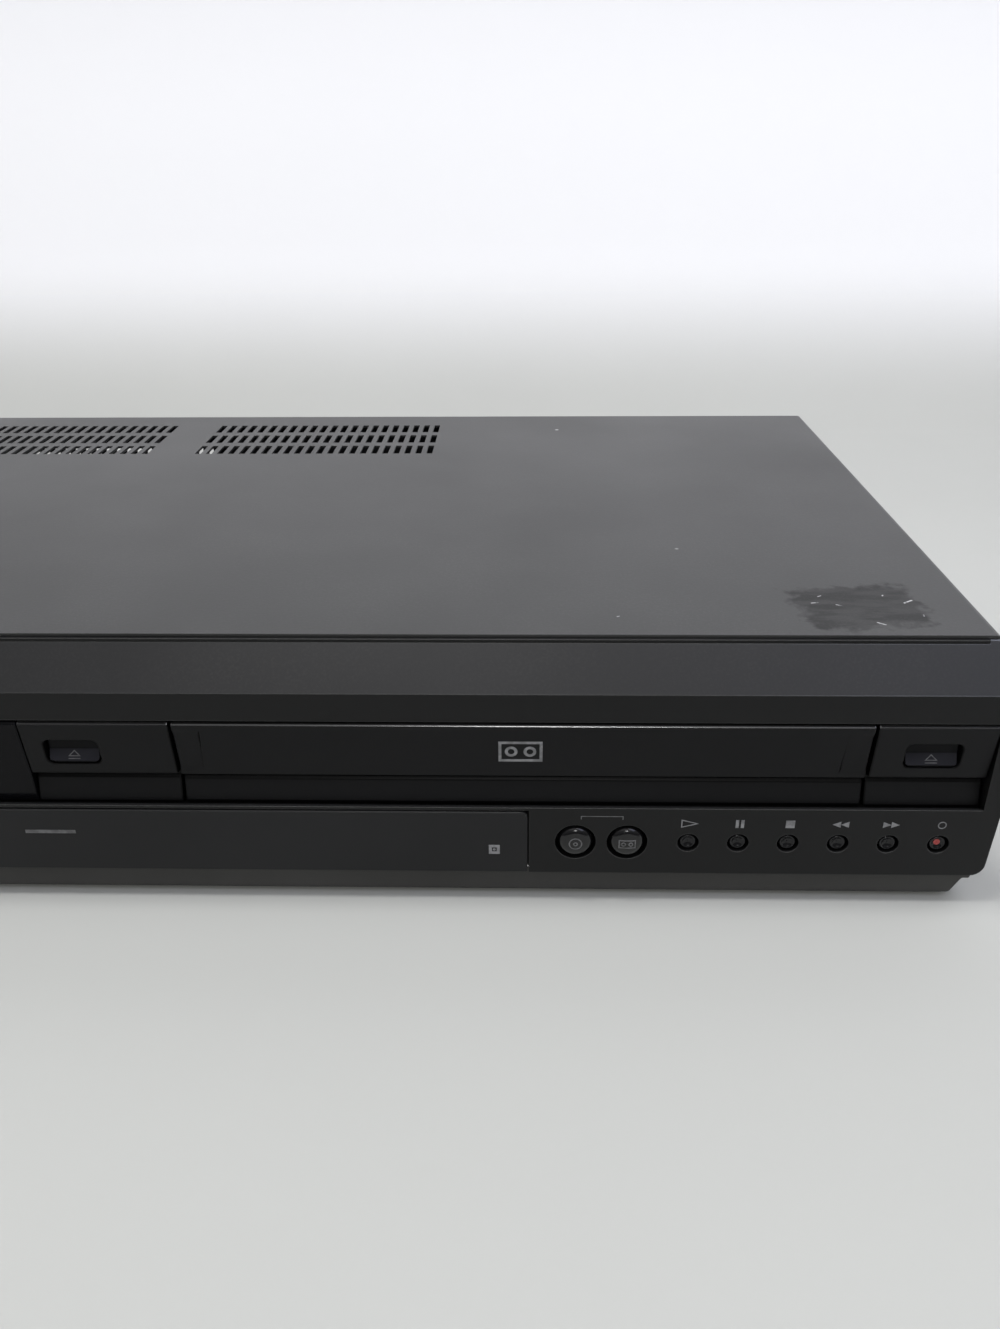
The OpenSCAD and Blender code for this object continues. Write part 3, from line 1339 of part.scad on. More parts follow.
// Full-erase head on the entry side, sound and control head on the exit side
module tape_heads() {
  for (p = [[slot_x - 54, drum_d - 24], [slot_x + 54, drum_d - 28]]) {
    color("#8f9194") post(p[0], p[1], deck_top_z, deck_top_z + 7, 3.2);
    color("#d6d8da") block([p[0] - 4, p[1] - 3.2, deck_top_z + 6], [p[0] + 4, p[1] + 3.2, deck_top_z + 20]);
  }
}

module loading_motor() {
  x = deck_x0 + 14;
  z = deck_top_z + 12;
  color("#9a9c9f") {
    rod_y(x, z, drum_d - 20, drum_d + 8, 11);
    rod_y(x, z, drum_d - 30, drum_d - 20, 1);
    block([x - 9, drum_d - 16, deck_top_z], [x + 9, drum_d + 4, deck_top_z + 6]);
  }
  color("#e3e1d8") rod_y(x, z, drum_d - 34, drum_d - 26, 3);
}

// ---------------------------------------------------------------- electronics

board_z = pan_top_z + 2;
board_top_z = board_z + 1.6;
board_d0 = loader_d1 + 3.1;
board_d1 = rear_d - 2;
// The boards share the room behind the loader; each is given as x, depth, x, depth
board_zone = deck_x0 - 6.35 + pan_half - 5;
power_x1 = -pan_half + 5 + 0.4713 * board_zone;
power_rect = [-pan_half + 5, board_d0, power_x1, board_d1];
main_rect = [power_x1 + 6, board_d0, deck_x0 - 6.35, board_d1];
strip_rect = [deck_x0 - 6.35, board_d1 - 32, pan_half - 3, board_d1];
board_posts = concat([for (f = [[0.07, 0.08], [0.9, 0.08], [0.07, 0.89]]) spot(power_rect, f)],
           [for (f = [[0.09, 0.08], [0.88, 0.08]]) spot(main_rect, f)],
           [for (f = [[0.3, 0.81], [0.96, 0.81]]) spot(strip_rect, f)]);
phono_x = [for (o = [20, 34, 48, 76, 90]) main_rect[0] + o];
phono_block_d = rear_d - 13;

// A place on a board, given as shares of its width and of its length
function spot(b, f) = [b[0] + f[0] * (b[2] - b[0]), b[1] + f[1] * (b[3] - b[1])];

// A block that stands on a board between two such places
module part_on(b, f0, f1, z0, z1) {
  p = spot(b, f0);
  q = spot(b, f1);
  block([p[0], p[1], board_top_z + z0], [q[0], q[1], board_top_z + z1]);
}

// A capacitor that stands on a board
module can_on(b, f, h, r) {
  p = spot(b, f);
  post(p[0], p[1], board_z, board_top_z + h, r);
}

module main_board() {
  color("#2f5d3a") difference() {
    union() {
      block([main_rect[0], main_rect[1], board_z], [main_rect[2] + 1, main_rect[3], board_top_z]);
      block([strip_rect[0], strip_rect[1], board_z], [strip_rect[2], strip_rect[3], board_top_z]);
    }
    for (p = deck_posts) drill(p[0], p[1], board_z, board_top_z, deck_post_r + 0.5);
  }
  color("#1a1a1b") {
    part_on(main_rect, [0.2, 0.18], [0.46, 0.48], -0.2, 1.8);
    part_on(main_rect, [0.62, 0.11], [0.78, 0.38], -0.2, 1.6);
    part_on(main_rect, [0.63, 0.49], [0.77, 0.65], -0.2, 1.6);
  }
  color("#2a3a55") for (i = [0 : 4]) can_on(main_rect, [0.14 + i * 0.105, 0.68], 9, 3);
}

module power_board() {
  color("#8a7440") block([power_rect[0], power_rect[1], board_z],
                         [power_rect[2], power_rect[3], board_top_z]);
  // transformer: core and winding
  color("#c9b05a") part_on(power_rect, [0.54, 0.16], [0.85, 0.46], -0.2, 22);
  color("#30302f") {
    part_on(power_rect, [0.49, 0.21], [0.9, 0.41], 5, 17);
    can_on(power_rect, [0.2, 0.19], 24, 9);
  }
  color("#2a3a55") for (i = [0 : 3]) can_on(power_rect, [0.08 + i * 0.14, 0.54], 14, 4);
  // finned heat sink
  color("#c4c6c9") {
    part_on(power_rect, [0.58, 0.57], [0.94, 0.6], -0.2, 26);
    for (i = [0 : 7]) part_on(power_rect, [0.58 + i * 0.049, 0.59], [0.597 + i * 0.049, 0.7], -0.2, 26);
  }
}

module tuner_can() {
  color("#c4c6c9") {
    block([coax_x - can_half, rear_d - 32, board_top_z],
          [coax_x + can_half, rear_d - seat_gap, coax_z[1] + 12]);
    for (z = coax_z) {
      rod_y(coax_x, z, rear_d - 1, body_d + 1, coax_r);
      difference() {
        rod_y(coax_x, z, body_d + 0.5, body_d + coax_len, coax_r);
        rod_y(coax_x, z, body_d + 3, body_d + coax_len + cut, 1);
        // thread grooves
        for (i = [0 : 4]) rod_ring(coax_x, z, body_d + 2 + i * 1.3);
      }
    }
  }
}

// A shallow groove round an aerial connector
module rod_ring(x, z, d) {
  difference() {
    rod_y(x, z, d, d + 0.5, coax_r + cut);
    rod_y(x, z, d - cut, d + 0.5 + cut, coax_r - 0.4);
  }
}

module phono_sockets() {
  for (x = phono_x) {
    color("#1a1a1b") block([x - 6, phono_block_d, board_top_z], [x + 6, rear_d - seat_gap, phono_z[1] + 7]);
    for (z = phono_z) difference() {
      union() {
        color("#1a1a1b") rod_y(x, z, rear_d - 1, body_d + 0.8, phono_r);
        color("#c9b05a") rod_y(x, z, body_d + 0.8, body_d + phono_len, phono_r);
      }
      rod_y(x, z, body_d - 4, body_d + phono_len + cut, 1.6);
    }
  }
}

// Figure-eight mains inlet with two contact pins
module mains_inlet() {
  color("#161617") difference() {
    union() {
      along_y(rear_d - 14, body_d + 1.4) translate([inlet_x, inlet_z]) round_rect(inlet_w, inlet_h, 2);
      along_y(body_d - 1, body_d + 1.4) translate([inlet_x, inlet_z]) round_rect(inlet_w + 4, inlet_h + 4, 3);
      block([inlet_x - 6, rear_d - 14, board_top_z], [inlet_x + 6, rear_d - 4, inlet_z]);
    }
    along_y(rear_d - 10, body_d + 2 + cut) translate([inlet_x, inlet_z]) {
      for (s = [-1, 1]) translate([s * 4.3, 0]) circle(4.3);
      square([8.6, 7.4], center = true);
    }
  }
  color("#d6d8da") for (s = [-1, 1]) rod_y(inlet_x + s * 4.3, inlet_z, rear_d - 10, body_d - 1, 1.2);
}

// ---------------------------------------------------------------- nodes

top_cover();
chassis_pan();
rear_panel();
front_fascia();
base_trim();
rubber_feet();
cover_screws();
display_window();
power_panel();
disc_eject_panel();
tape_eject_panel();
cassette_flap();
flap_spring();
tray_door();
disc_tray();
power_button();
disc_eject_button();
tape_eject_button();
disc_select_button();
tape_select_button();
play_button();
pause_button();
stop_button();
rewind_button();
forward_button();
record_button();
button_board();
display_board();
loader_frame();
clamp_bridge();
clamp_puck();
traverse_plate();
disc_turntable();
optical_sled();
sled_rods();
tray_gear();
tray_motor();
tray_belt();
deck_plate();
side_brackets();
carriage_slides();
cassette_carriage();
lower_drum();
head_drum();
supply_reel();
takeup_reel();
reel_clutch();
capstan();
capstan_belt();
pinch_arm();
pinch_roller();
entry_guide();
exit_guide();
tape_heads();
loading_motor();
main_board();
power_board();
tuner_can();
phono_sockets();
mains_inlet();
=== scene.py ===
"""Looks of a slim disc and video cassette player.

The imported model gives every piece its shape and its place. This script softens the edges of the
pieces, gives each one its finish, adds the printed signs, the buttons' caps and the metal and colours
of the rear sockets, and sets up the studio.
"""

import logging
import math
from dataclasses import dataclass
from enum import Enum
from functools import reduce
from operator import matmul
from typing import Iterable, Sequence

import bmesh
import bpy
from mathutils import Matrix, Vector


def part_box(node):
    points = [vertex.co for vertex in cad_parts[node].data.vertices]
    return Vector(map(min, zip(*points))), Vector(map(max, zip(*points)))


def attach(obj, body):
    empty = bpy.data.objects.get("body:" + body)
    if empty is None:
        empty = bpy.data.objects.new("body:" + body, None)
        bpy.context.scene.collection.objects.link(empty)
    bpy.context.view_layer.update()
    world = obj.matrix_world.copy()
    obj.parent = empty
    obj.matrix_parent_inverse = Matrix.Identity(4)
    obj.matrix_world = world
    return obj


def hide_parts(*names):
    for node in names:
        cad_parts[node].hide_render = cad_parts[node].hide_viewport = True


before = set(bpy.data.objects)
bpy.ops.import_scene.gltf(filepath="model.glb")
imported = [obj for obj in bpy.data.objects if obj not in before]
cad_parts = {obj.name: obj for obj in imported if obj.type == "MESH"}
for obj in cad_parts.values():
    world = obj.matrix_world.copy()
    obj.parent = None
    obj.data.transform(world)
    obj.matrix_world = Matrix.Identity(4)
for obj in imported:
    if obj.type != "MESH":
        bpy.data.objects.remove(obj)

LOG = logging.getLogger("player")
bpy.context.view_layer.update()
MM = 0.001
Color = tuple[float, float, float]
Point = tuple[float, float]
Loop = list[Point]
Mesh = bmesh.types.BMesh
Outputs = bpy.types.bpy_prop_collection
Piece = bpy.types.Object
Socket = bpy.types.NodeSocket


# ---- shader trees


class Canvas:
    """A node tree that is filled one node at a time."""

    def __init__(self, tree: bpy.types.NodeTree) -> None:
        """Keeps the tree that the nodes go into."""
        self.tree = tree

    def feed(self, socket: Socket, value: object) -> None:
        """Links an input to an output, or sets its value.

        Args:
            socket: the input.
            value: an output, a number, or a tuple of three.
        """
        if isinstance(value, Socket):
            self.tree.links.new(value, socket)
        else:
            socket.default_value = (*value, 1.0) if socket.type == "RGBA" else value

    def add(self, kind: str, given: dict[str | int, object] | None = None, **settings: object) -> Outputs:
        """Adds a node.

        Args:
            kind: the node's class without its ShaderNode prefix.
            given: what its inputs get, by name or number.
            settings: attributes to set on it.

        Returns:
            The new node's outputs.
        """
        node = self.tree.nodes.new("ShaderNode" + kind)
        for name, value in settings.items():
            setattr(node, name, value)
        for name, value in (given or {}).items():
            self.feed(node.inputs[name], value)
        return node.outputs

    def math(self, operation: str, *values: object, clamp: bool = False) -> Socket:
        """Returns the result of a Math node, which clamp keeps between 0 and 1."""
        return self.add("Math", dict(enumerate(values)), operation=operation, use_clamp=clamp)[0]

    def times(self, *values: object) -> Socket:
        """Returns the product of numbers and outputs."""
        return reduce(lambda first, second: self.math("MULTIPLY", first, second), values)

    def blend(self, factor: Socket, low: object, high: object) -> Socket:
        """Mixes two colours: a factor of 0 gives low, and 1 gives high."""
        return self.add("Mix", {0: factor, 6: low, 7: high}, data_type="RGBA")[2]

    def span(self, value: Socket, low: object, high: object, to: Point = (0.0, 1.0)) -> Socket:
        """Maps a value smoothly, so that low and high give the two ends of another span."""
        given = {"Value": value, "From Min": low, "From Max": high, "To Min": to[0], "To Max": to[1]}
        return self.add("MapRange", given, interpolation_type="SMOOTHSTEP")["Result"]

    def noise(self, vector: Socket, scale: object, detail: float = 2.0) -> Socket:
        """Returns the grey value of a noise texture."""
        return self.add("TexNoise", {"Vector": vector, "Scale": scale, "Detail": detail})["Fac"]

    def place(self) -> Socket:
        """Returns the place on the piece, in metres of the part's own frame."""
        return self.add("TexCoord")["Object"]

    def parts(self, vector: Socket) -> Outputs:
        """Returns the X, Y and Z of a vector."""
        return self.add("SeparateXYZ", {0: vector})

    def normal_z(self) -> Socket:
        """Returns how far the face turns up, from -1 to 1."""
        return self.parts(self.add("NewGeometry")["Normal"])["Z"]


class Effect(Enum):
    """Effects that several finishes share, each a node group of that name."""

    GRAIN = "grain"
    MOTTLE = "mottle"
    DUST = "dust"
    SPECKS = "specks"
    STREAKS = "streaks"
    EDGE_WEAR = "edge_wear"
    UPWARD = "upward"
    RECESS = "recess"
    ROUND_EDGE = "round_edge"


COLORS = ("Color", "Second", "Dust", "Speck", "Worn")
VECTORS = ("Place", "Normal")


class Group(Canvas):
    """A node group under construction, with named inputs and outputs."""

    def __init__(self, effect: Effect, inputs: Sequence[str], outputs: Sequence[str]) -> None:
        """Makes the group and its sockets, whose names tell their kinds.

        Args:
            effect: which effect the group holds.
            inputs: names of its inputs.
            outputs: names of its outputs.
        """
        super().__init__(bpy.data.node_groups.new(effect.value, "ShaderNodeTree"))
        for way, names in (("INPUT", inputs), ("OUTPUT", outputs)):
            for name in names:
                kind = "Color" if name in COLORS else "Vector" if name in VECTORS else "Float"
                self.tree.interface.new_socket(name=name, in_out=way, socket_type="NodeSocket" + kind)
        self.given = self.tree.nodes.new("NodeGroupInput").outputs
        self.target = self.tree.nodes.new("NodeGroupOutput").inputs

    def result(self, **values: Socket) -> None:
        """Links values to the group's outputs of those names."""
        for name, value in values.items():
            self.feed(self.target[name], value)

    def wandering(self, cloud: Socket) -> Socket:
        """Returns the roughness given, swung by the spread given round the middle of a cloud."""
        swing = self.times(self.math("SUBTRACT", cloud, 0.5), self.given["Spread"])
        return self.math("ADD", self.given["Roughness"], swing, clamp=True)


def make_grain() -> None:
    """Fine moulded texture: a height, and a roughness that wanders with it."""
    group = Group(Effect.GRAIN, ("Scale", "Roughness", "Spread"), ("Height", "Roughness"))
    place, scale = group.place(), group.given["Scale"]
    broad = group.noise(place, group.times(scale, 0.012), 4.0)
    group.result(Height=group.noise(place, scale, 3.0), Roughness=group.wandering(broad))


def make_mottle() -> None:
    """Cloudy change between two close colours."""
    group = Group(Effect.MOTTLE, ("Color", "Second", "Scale"), ("Color",))
    share = group.span(group.noise(group.place(), group.given["Scale"], 5.0), 0.35, 0.65)
    group.result(Color=group.blend(share, group.given["Color"], group.given["Second"]))


def make_dust() -> None:
    """Thin dust that lies on what faces up."""
    group = Group(Effect.DUST, ("Color", "Dust", "Amount"), ("Color",))
    place = group.place()
    facing = group.span(group.normal_z(), 0.2, 0.95)
    cloud = group.span(group.noise(place, 26.0, 6.0), 0.3, 0.75, (0.35, 1.0))
    fine = group.span(group.noise(place, 1400.0), 0.45, 0.7, (0.3, 1.0))
    mask = group.times(facing, cloud, fine, group.given["Amount"])
    group.result(Color=group.blend(mask, group.given["Color"], group.given["Dust"]))


def make_specks() -> None:
    """Sparse pale specks, such as chips and lint."""
    group = Group(Effect.SPECKS, ("Color", "Speck", "Scale", "Share"), ("Color",))
    cells = group.add("TexVoronoi", {"Vector": group.place(), "Scale": group.given["Scale"]})
    near = group.span(cells["Distance"], 0.10, 0.03)
    chosen = group.math("LESS_THAN", group.parts(cells["Color"])["X"], group.given["Share"])
    group.result(Color=group.blend(group.times(near, chosen), group.given["Color"], group.given["Speck"]))


def make_streaks() -> None:
    """Long thin streaks of rolled or turned metal along the stretched axis of the place given."""
    group = Group(Effect.STREAKS, ("Place", "Roughness", "Spread"), ("Height", "Roughness"))
    place = group.given["Place"]
    group.result(Height=group.noise(place, 900.0, 3.0), Roughness=group.wandering(group.noise(place, 90.0)))


def make_edge_wear_and_highlight() -> None:
    """Broken, paler colour of an edge that hands and cloths have worn; on the edges that turn up it is also a
    painted highlight.
    """
    group = Group(Effect.EDGE_WEAR, ("Color", "Worn", "Amount"), ("Color",))
    place = group.place()
    broad = group.span(group.noise(place, 34.0, 3.0), 0.35, 0.7)
    fine = group.span(group.noise(place, 700.0, 3.0), 0.4, 0.6)
    mask = group.times(broad, fine, group.given["Amount"])
    group.result(Color=group.blend(mask, group.given["Color"], group.given["Worn"]))


def make_upward() -> None:
    """A mask of what leans up, from one steepness to another."""
    group = Group(Effect.UPWARD, ("Start", "End"), ("Mask",))
    group.result(Mask=group.span(group.normal_z(), group.given["Start"], group.given["End"]))


def make_painted_shade() -> None:
    """A mask of painted shade from occlusion: 0 inside a gap or a pocket, where the colour darkens, and 1 in
    the open.
    """
    group = Group(Effect.RECESS, ("Distance",), ("Mask",))
    near = group.add("AmbientOcclusion", {"Distance": group.given["Distance"]}, samples=6)
    group.result(Mask=group.span(near["AO"], 0.3, 0.85))


def make_round_edge() -> None:
    """Normals that run round sharp edges, and a mask of those that turn up, where the paler worn colour is
    partly a painted highlight.
    """
    group = Group(Effect.ROUND_EDGE, ("Radius",), ("Normal", "Mask"))
    normal = group.add("Bevel", {"Radius": group.given["Radius"]}, samples=6)["Normal"]
    flat = group.add("NewGeometry")["Normal"]
    turn = group.add("VectorMath", {0: normal, 1: flat}, operation="DOT_PRODUCT")["Value"]
    turning = group.span(turn, 0.998, 0.93)
    rising = group.span(group.parts(normal)["Z"], 0.1, 0.6, (0.15, 1.0))
    group.result(Normal=normal, Mask=group.times(turning, rising))


def make_effects() -> None:
    """Builds every shared node group once."""
    for make in (make_grain, make_mottle, make_dust, make_specks, make_streaks, make_edge_wear_and_highlight,
                 make_upward, make_painted_shade, make_round_edge):
        make()


# ---- finishes


class Shader(Canvas):
    """The tree of one material, with its principled shader, and the masks that its finish notes."""

    def __init__(self, name: str) -> None:
        """Makes an empty material, with neither worn edges nor rounded normals.

        Args:
            name: the material's name.
        """
        self.material = bpy.data.materials.new(name)
        self.material.use_nodes = True
        super().__init__(self.material.node_tree)
        self.tree.nodes.clear()
        self.surface = self.tree.nodes.new("ShaderNodeBsdfPrincipled")
        self.add("OutputMaterial", {"Surface": self.surface.outputs["BSDF"]})
        self.edge: Socket | None = None
        self.normal: Socket | None = None

    def effect(self, effect: Effect, **values: object) -> Outputs:
        """Places a shared group, gives its inputs values by name and returns its outputs."""
        return self.add("Group", values, node_tree=bpy.data.node_groups[effect.value])

    def set(self, **values: object) -> None:
        """Feeds sockets of the principled shader, in whose names _ stands for a space."""
        for name, value in values.items():
            self.feed(self.surface.inputs[name.replace("_", " ")], value)


class Wear(Enum):
    """Where on a piece a material lies."""

    FACE = "face"
    EDGE = "edge"


def paler(color: Color, factor: float) -> Color:
    """Returns a colour made lighter or darker by a factor."""
    return tuple(min(1.0, part * factor) for part in color)


@dataclass(frozen=True)
class Finish:
    """What every finish has: colour, gloss, a cloudy drift of the colour, dust and a fine texture.

    The drift is a factor on the colour. The grain is the texture's scale, the depth its height in
    metres and the spread its swing of the gloss. The rounding is the radius of edges made by normals.
    Where edges are worn, one factor gives how much and worn how much paler they are; on the edges that turn
    up that paler colour is partly wear and partly a painted highlight.
    """

    name: str
    color: Color
    roughness: float
    specular: float = 0.5
    metallic: float = 0.0
    drift: float = 1.18
    drift_scale: float = 14.0
    dust: float = 0.0
    dust_color: Color = (0.32, 0.31, 0.30)
    grain: float = 2600.0
    spread: float = 0.12
    depth: float = 20e-6
    rounding: float = 0.0
    rub_and_highlight: float = 0.0
    worn: float = 2.0

    def tone(self, shader: Shader) -> Socket:
        """Returns the colour with its cloudy drift."""
        second = paler(self.color, self.drift)
        return shader.effect(Effect.MOTTLE, Color=self.color, Second=second, Scale=self.drift_scale)["Color"]

    def paint(self, shader: Shader) -> Socket:
        """Returns the colour under the dust."""
        return self.tone(shader)

    def worn_and_highlit(self, shader: Shader, color: Socket) -> Socket:
        """Returns a colour that is paler on the worn edges: partly wear, partly a painted highlight."""
        amount, worn = shader.times(shader.edge, self.rub_and_highlight), paler(self.color, self.worn)
        return shader.effect(Effect.EDGE_WEAR, Color=color, Worn=worn, Amount=amount)["Color"]

    def gloss(self, shader: Shader, roughness: Socket) -> Socket:
        """Returns the roughness that the surface gets, from the texture's."""
        return roughness

    def texture(self, shader: Shader) -> Outputs:
        """Returns the height and the roughness of the fine texture."""
        return shader.effect(Effect.GRAIN, Scale=self.grain, Roughness=self.roughness, Spread=self.spread)

    def note_edges(self, shader: Shader, wear: Wear) -> None:
        """Notes in the shader which edges are worn and get a painted highlight, and their normals where they
        are rounded.

        Args:
            shader: the shader.
            wear: whether it is for faces or for broken edges.
        """
        if self.rounding:
            turned = shader.effect(Effect.ROUND_EDGE, Radius=self.rounding)
            shader.normal, shader.edge = turned["Normal"], turned["Mask"]
        # Only edges that lean up get the paler worn colour: partly wear, partly a painted highlight.
        elif wear is Wear.EDGE:
            shader.edge = shader.effect(Effect.UPWARD, Start=0.1, End=0.6)["Mask"]

    def fill(self, shader: Shader) -> None:
        """Feeds colour, dust, gloss and texture to the principled shader.

        Args:
            shader: the shader, whose edges are noted.
        """
        color = self.paint(shader)
        if self.dust:
            color = shader.effect(Effect.DUST, Color=color, Dust=self.dust_color, Amount=self.dust)["Color"]
        texture = self.texture(shader)
        bump = {"Height": texture["Height"], "Distance": self.depth}
        if shader.normal is not None:
            bump["Normal"] = shader.normal
        shader.set(Base_Color=color, Roughness=self.gloss(shader, texture["Roughness"]),
                   Metallic=self.metallic, Specular_IOR_Level=self.specular,
                   Normal=shader.add("Bump", bump)["Normal"])

    def material(self, wear: Wear) -> bpy.types.Material:
        """Returns the finish's material, made the first time.

        Args:
            wear: whether it is for faces or for broken edges.

        Returns:
            The material.
        """
        name = f"{self.name}_{wear.value}"
        if name not in bpy.data.materials:
            shader = Shader(name)
            self.note_edges(shader, wear)
            self.fill(shader)
        return bpy.data.materials[name]


@dataclass(frozen=True)
class Moulded(Finish):
    """Moulded plastic with worn and polished edges, whose paler colour is partly a painted highlight, or
    lacquered all over with a coat.

    Faces that lean up are painted paler by a factor: a painted top light. Gaps narrower than a given
    reach are darker by a factor: painted shade. Below the height shine_from the edges aren't worn, and
    are darker by a factor: painted shade.
    """

    dust: float = 0.05
    rub_and_highlight: float = 0.35
    coat: float = 0.0
    polish: float = 0.8
    painted_uplight: float = 1.0
    recess: float = 0.0
    painted_shade_factor: float = 0.2
    shine_from: float = 0.0
    painted_edge_shade: float = 0.3

    def paint(self, shader: Shader) -> Socket:
        """Returns the colour with its painted top light, its painted shade in gaps and on low edges, and its
        worn edges, partly a painted highlight, and narrows the edges noted.

        Args:
            shader: the shader.

        Returns:
            The colour.
        """
        color = self.tone(shader)
        # Painted top light: faces that lean up get a paler colour.
        if self.painted_uplight != 1.0:
            painted_uplight_mask = shader.effect(Effect.UPWARD, Start=0.15, End=0.45)["Mask"]
            color = shader.blend(painted_uplight_mask, color, paler(self.color, self.painted_uplight))
        if self.recess:
            # Painted shade: the colour darkens in gaps and pockets, where shade falls, and their edges lose
            # wear and polish.
            unshaded = shader.effect(Effect.RECESS, Distance=self.recess)["Mask"]
            color = shader.blend(unshaded, paler(self.color, self.painted_shade_factor), color)
            shader.edge = shader.times(shader.edge, unshaded) if shader.edge is not None else None
        if shader.edge is None:
            return color
        if self.shine_from:
            # Painted shade: edges below this height get a darker colour, with neither wear nor polish.
            high = shader.span(shader.parts(shader.place())["Z"], self.shine_from, self.shine_from + 1 * MM)
            shader.edge = shader.times(shader.edge, high)
            color = shader.blend(high, paler(self.color, self.painted_edge_shade), color)
        # Worn edges get a paler colour: partly wear, partly a painted highlight.
        return self.worn_and_highlit(shader, color) if self.rub_and_highlight else color

    def fill(self, shader: Shader) -> None:
        """Adds the coat, or the polished skin of the edges, to what every finish has.

        Args:
            shader: the shader, whose edges are noted.
        """
        super().fill(shader)
        lacquer = (0.18, 1.5) if self.coat else (0.22, 2.2)
        polished = self.polish and shader.edge is not None
        weight = shader.times(shader.edge, self.polish) if polished else self.coat
        shader.set(Coat_Weight=weight, Coat_Roughness=lacquer[0], Coat_IOR=lacquer[1])


@dataclass(frozen=True)
class Painted(Finish):
    """Painted sheet metal: slight orange peel, cloudy gloss, dust and a few pale chips."""

    drift: float = 1.3
    drift_scale: float = 7.0
    dust: float = 0.06
    dust_color: Color = (0.34, 0.33, 0.32)
    grain: float = 900.0
    spread: float = 0.16
    rounding: float = 0.3 * MM
    rub_and_highlight: float = 0.5
    worn: float = 3.0
    chips: float = 0.02
    chip_color: Color = (0.55, 0.55, 0.54)

    def paint(self, shader: Shader) -> Socket:
        """Returns the colour with worn edges, partly a painted highlight, and chips.

        Args:
            shader: the shader.

        Returns:
            The colour.
        """
        color = self.worn_and_highlit(shader, self.tone(shader))
        if self.chips:
            chips = {"Speck": self.chip_color, "Scale": 85.0, "Share": self.chips}
            color = shader.effect(Effect.SPECKS, Color=color, **chips)["Color"]
        return color


@dataclass(frozen=True)
class StickerMark(Painted):
    """The cover's paint, with the dark mark of a sticker that was pulled off and scratches round it.

    The scrape is the way that the sticker came off. Each scratch has its place from the mark's middle,
    its length, its width and its turn. Scratches are in millimetres, and turns in degrees.
    """

    middle: Point = (0.0, 0.0)
    size: Point = (36 * MM, 30 * MM)
    turn: float = 8.0
    scrape: float = 35.0
    ragged: float = 16 * MM
    dark: float = 0.35
    scratch_color: Color = (0.72, 0.72, 0.73)
    scratches: tuple[tuple[float, ...], ...] = ()

    def local(self, shader: Shader, x: float, y: float, turn: float) -> list[Socket]:
        """Measures the place from a point of the mark.

        Args:
            shader: the shader.
            x: the point, across from the mark's middle.
            y: the point, back from the mark's middle.
            turn: how far the measure is turned, in degrees.

        Returns:
            The distances along and across.
        """
        given = {"Vector": shader.place(), "Location": (self.middle[0] + x, self.middle[1] + y, 0.0),
                 "Rotation": (0.0, 0.0, math.radians(turn))}
        parts = shader.parts(shader.add("Mapping", given, vector_type="TEXTURE")["Vector"])
        return [shader.math("ABSOLUTE", parts[axis]) for axis in "XY"]

    def streaky(self, shader: Shader) -> Socket:
        """Returns noise drawn out along the way that the sticker was scraped off."""
        drawn = {"Rotation": (0.0, 0.0, math.radians(self.scrape)), "Scale": (0.45, 1.6, 1.0)}
        return shader.noise(shader.add("Mapping", {"Vector": shader.place(), **drawn})["Vector"], 150.0, 6.0)

    def mark(self, shader: Shader) -> Socket:
        """Returns the ragged mask of the sticker's mark.

        Args:
            shader: the shader.

        Returns:
            The mask.
        """
        cloud = shader.noise(shader.place(), 190.0, 5.0)
        shift = shader.times(shader.math("SUBTRACT", cloud, 0.5), self.ragged)
        masks = []
        for far, size in zip(self.local(shader, 0.0, 0.0, self.turn), self.size):
            reach = shader.math("ADD", far, shift)
            masks.append(shader.span(reach, size / 2 + 1.2 * MM, size / 2 - 3.0 * MM))
        return shader.times(*masks)

    def tone(self, shader: Shader) -> Socket:
        """Returns the paint with the mark and the scratches on it.

        Args:
            shader: the shader.

        Returns:
            The colour.
        """
        patchy = shader.span(self.streaky(shader), 0.38, 0.60, (0.25, 1.0))
        mark = shader.times(self.mark(shader), patchy)
        color = shader.blend(mark, super().tone(shader), paler(self.color, self.dark))
        for *spot, length, width, turn in self.scratches:
            along, across = self.local(shader, *(measure * MM for measure in spot), turn)
            line = shader.times(shader.span(along, length * MM / 2, length * MM / 2 - 0.4 * MM),
                                shader.span(across, width * MM / 2, 0.0),
                                shader.span(shader.noise(shader.place(), 900.0), 0.3, 0.5))
            color = shader.blend(line, color, self.scratch_color)
        return color

    def gloss(self, shader: Shader, roughness: Socket) -> Socket:
        """Returns the roughness, which rises on the scuffed mark."""
        return shader.math("ADD", roughness, shader.times(self.mark(shader), 0.2), clamp=True)


@dataclass(frozen=True)
class BareMetal(Finish):
    """Bare or plated metal, tarnished in clouds, with fine streaks along its stretched axis."""

    metallic: float = 1.0
    drift: float = 0.75
    drift_scale: float = 45.0
    spread: float = 0.22
    depth: float = 6e-6
    stretch: tuple[float, float, float] = (0.05, 1.0, 1.0)

    def texture(self, shader: Shader) -> Outputs:
        """Returns the height and the roughness of the streaks."""
        place = shader.add("Mapping", {"Vector": shader.place(), "Scale": self.stretch})["Vector"]
        return shader.effect(Effect.STREAKS, Place=place, Roughness=self.roughness, Spread=self.spread)


@dataclass(frozen=True)
class Rubber(Finish):
    """Soft rubber with a dull, dusty skin, a cloudy bloom and fine pores."""

    drift: float = 1.9
    drift_scale: float = 120.0
    dust: float = 0.2
    dust_color: Color = (0.2, 0.2, 0.19)
    grain: float = 1800.0
    spread: float = 0.1


@dataclass(frozen=True)
class Smoked(Finish):
    """Smoked clear plastic, nearly black, with a hard gloss and a faint haze of wiping marks."""

    drift: float = 1.5
    drift_scale: float = 30.0
    grain: float = 420.0
    spread: float = 0.07
    depth: float = 3e-6


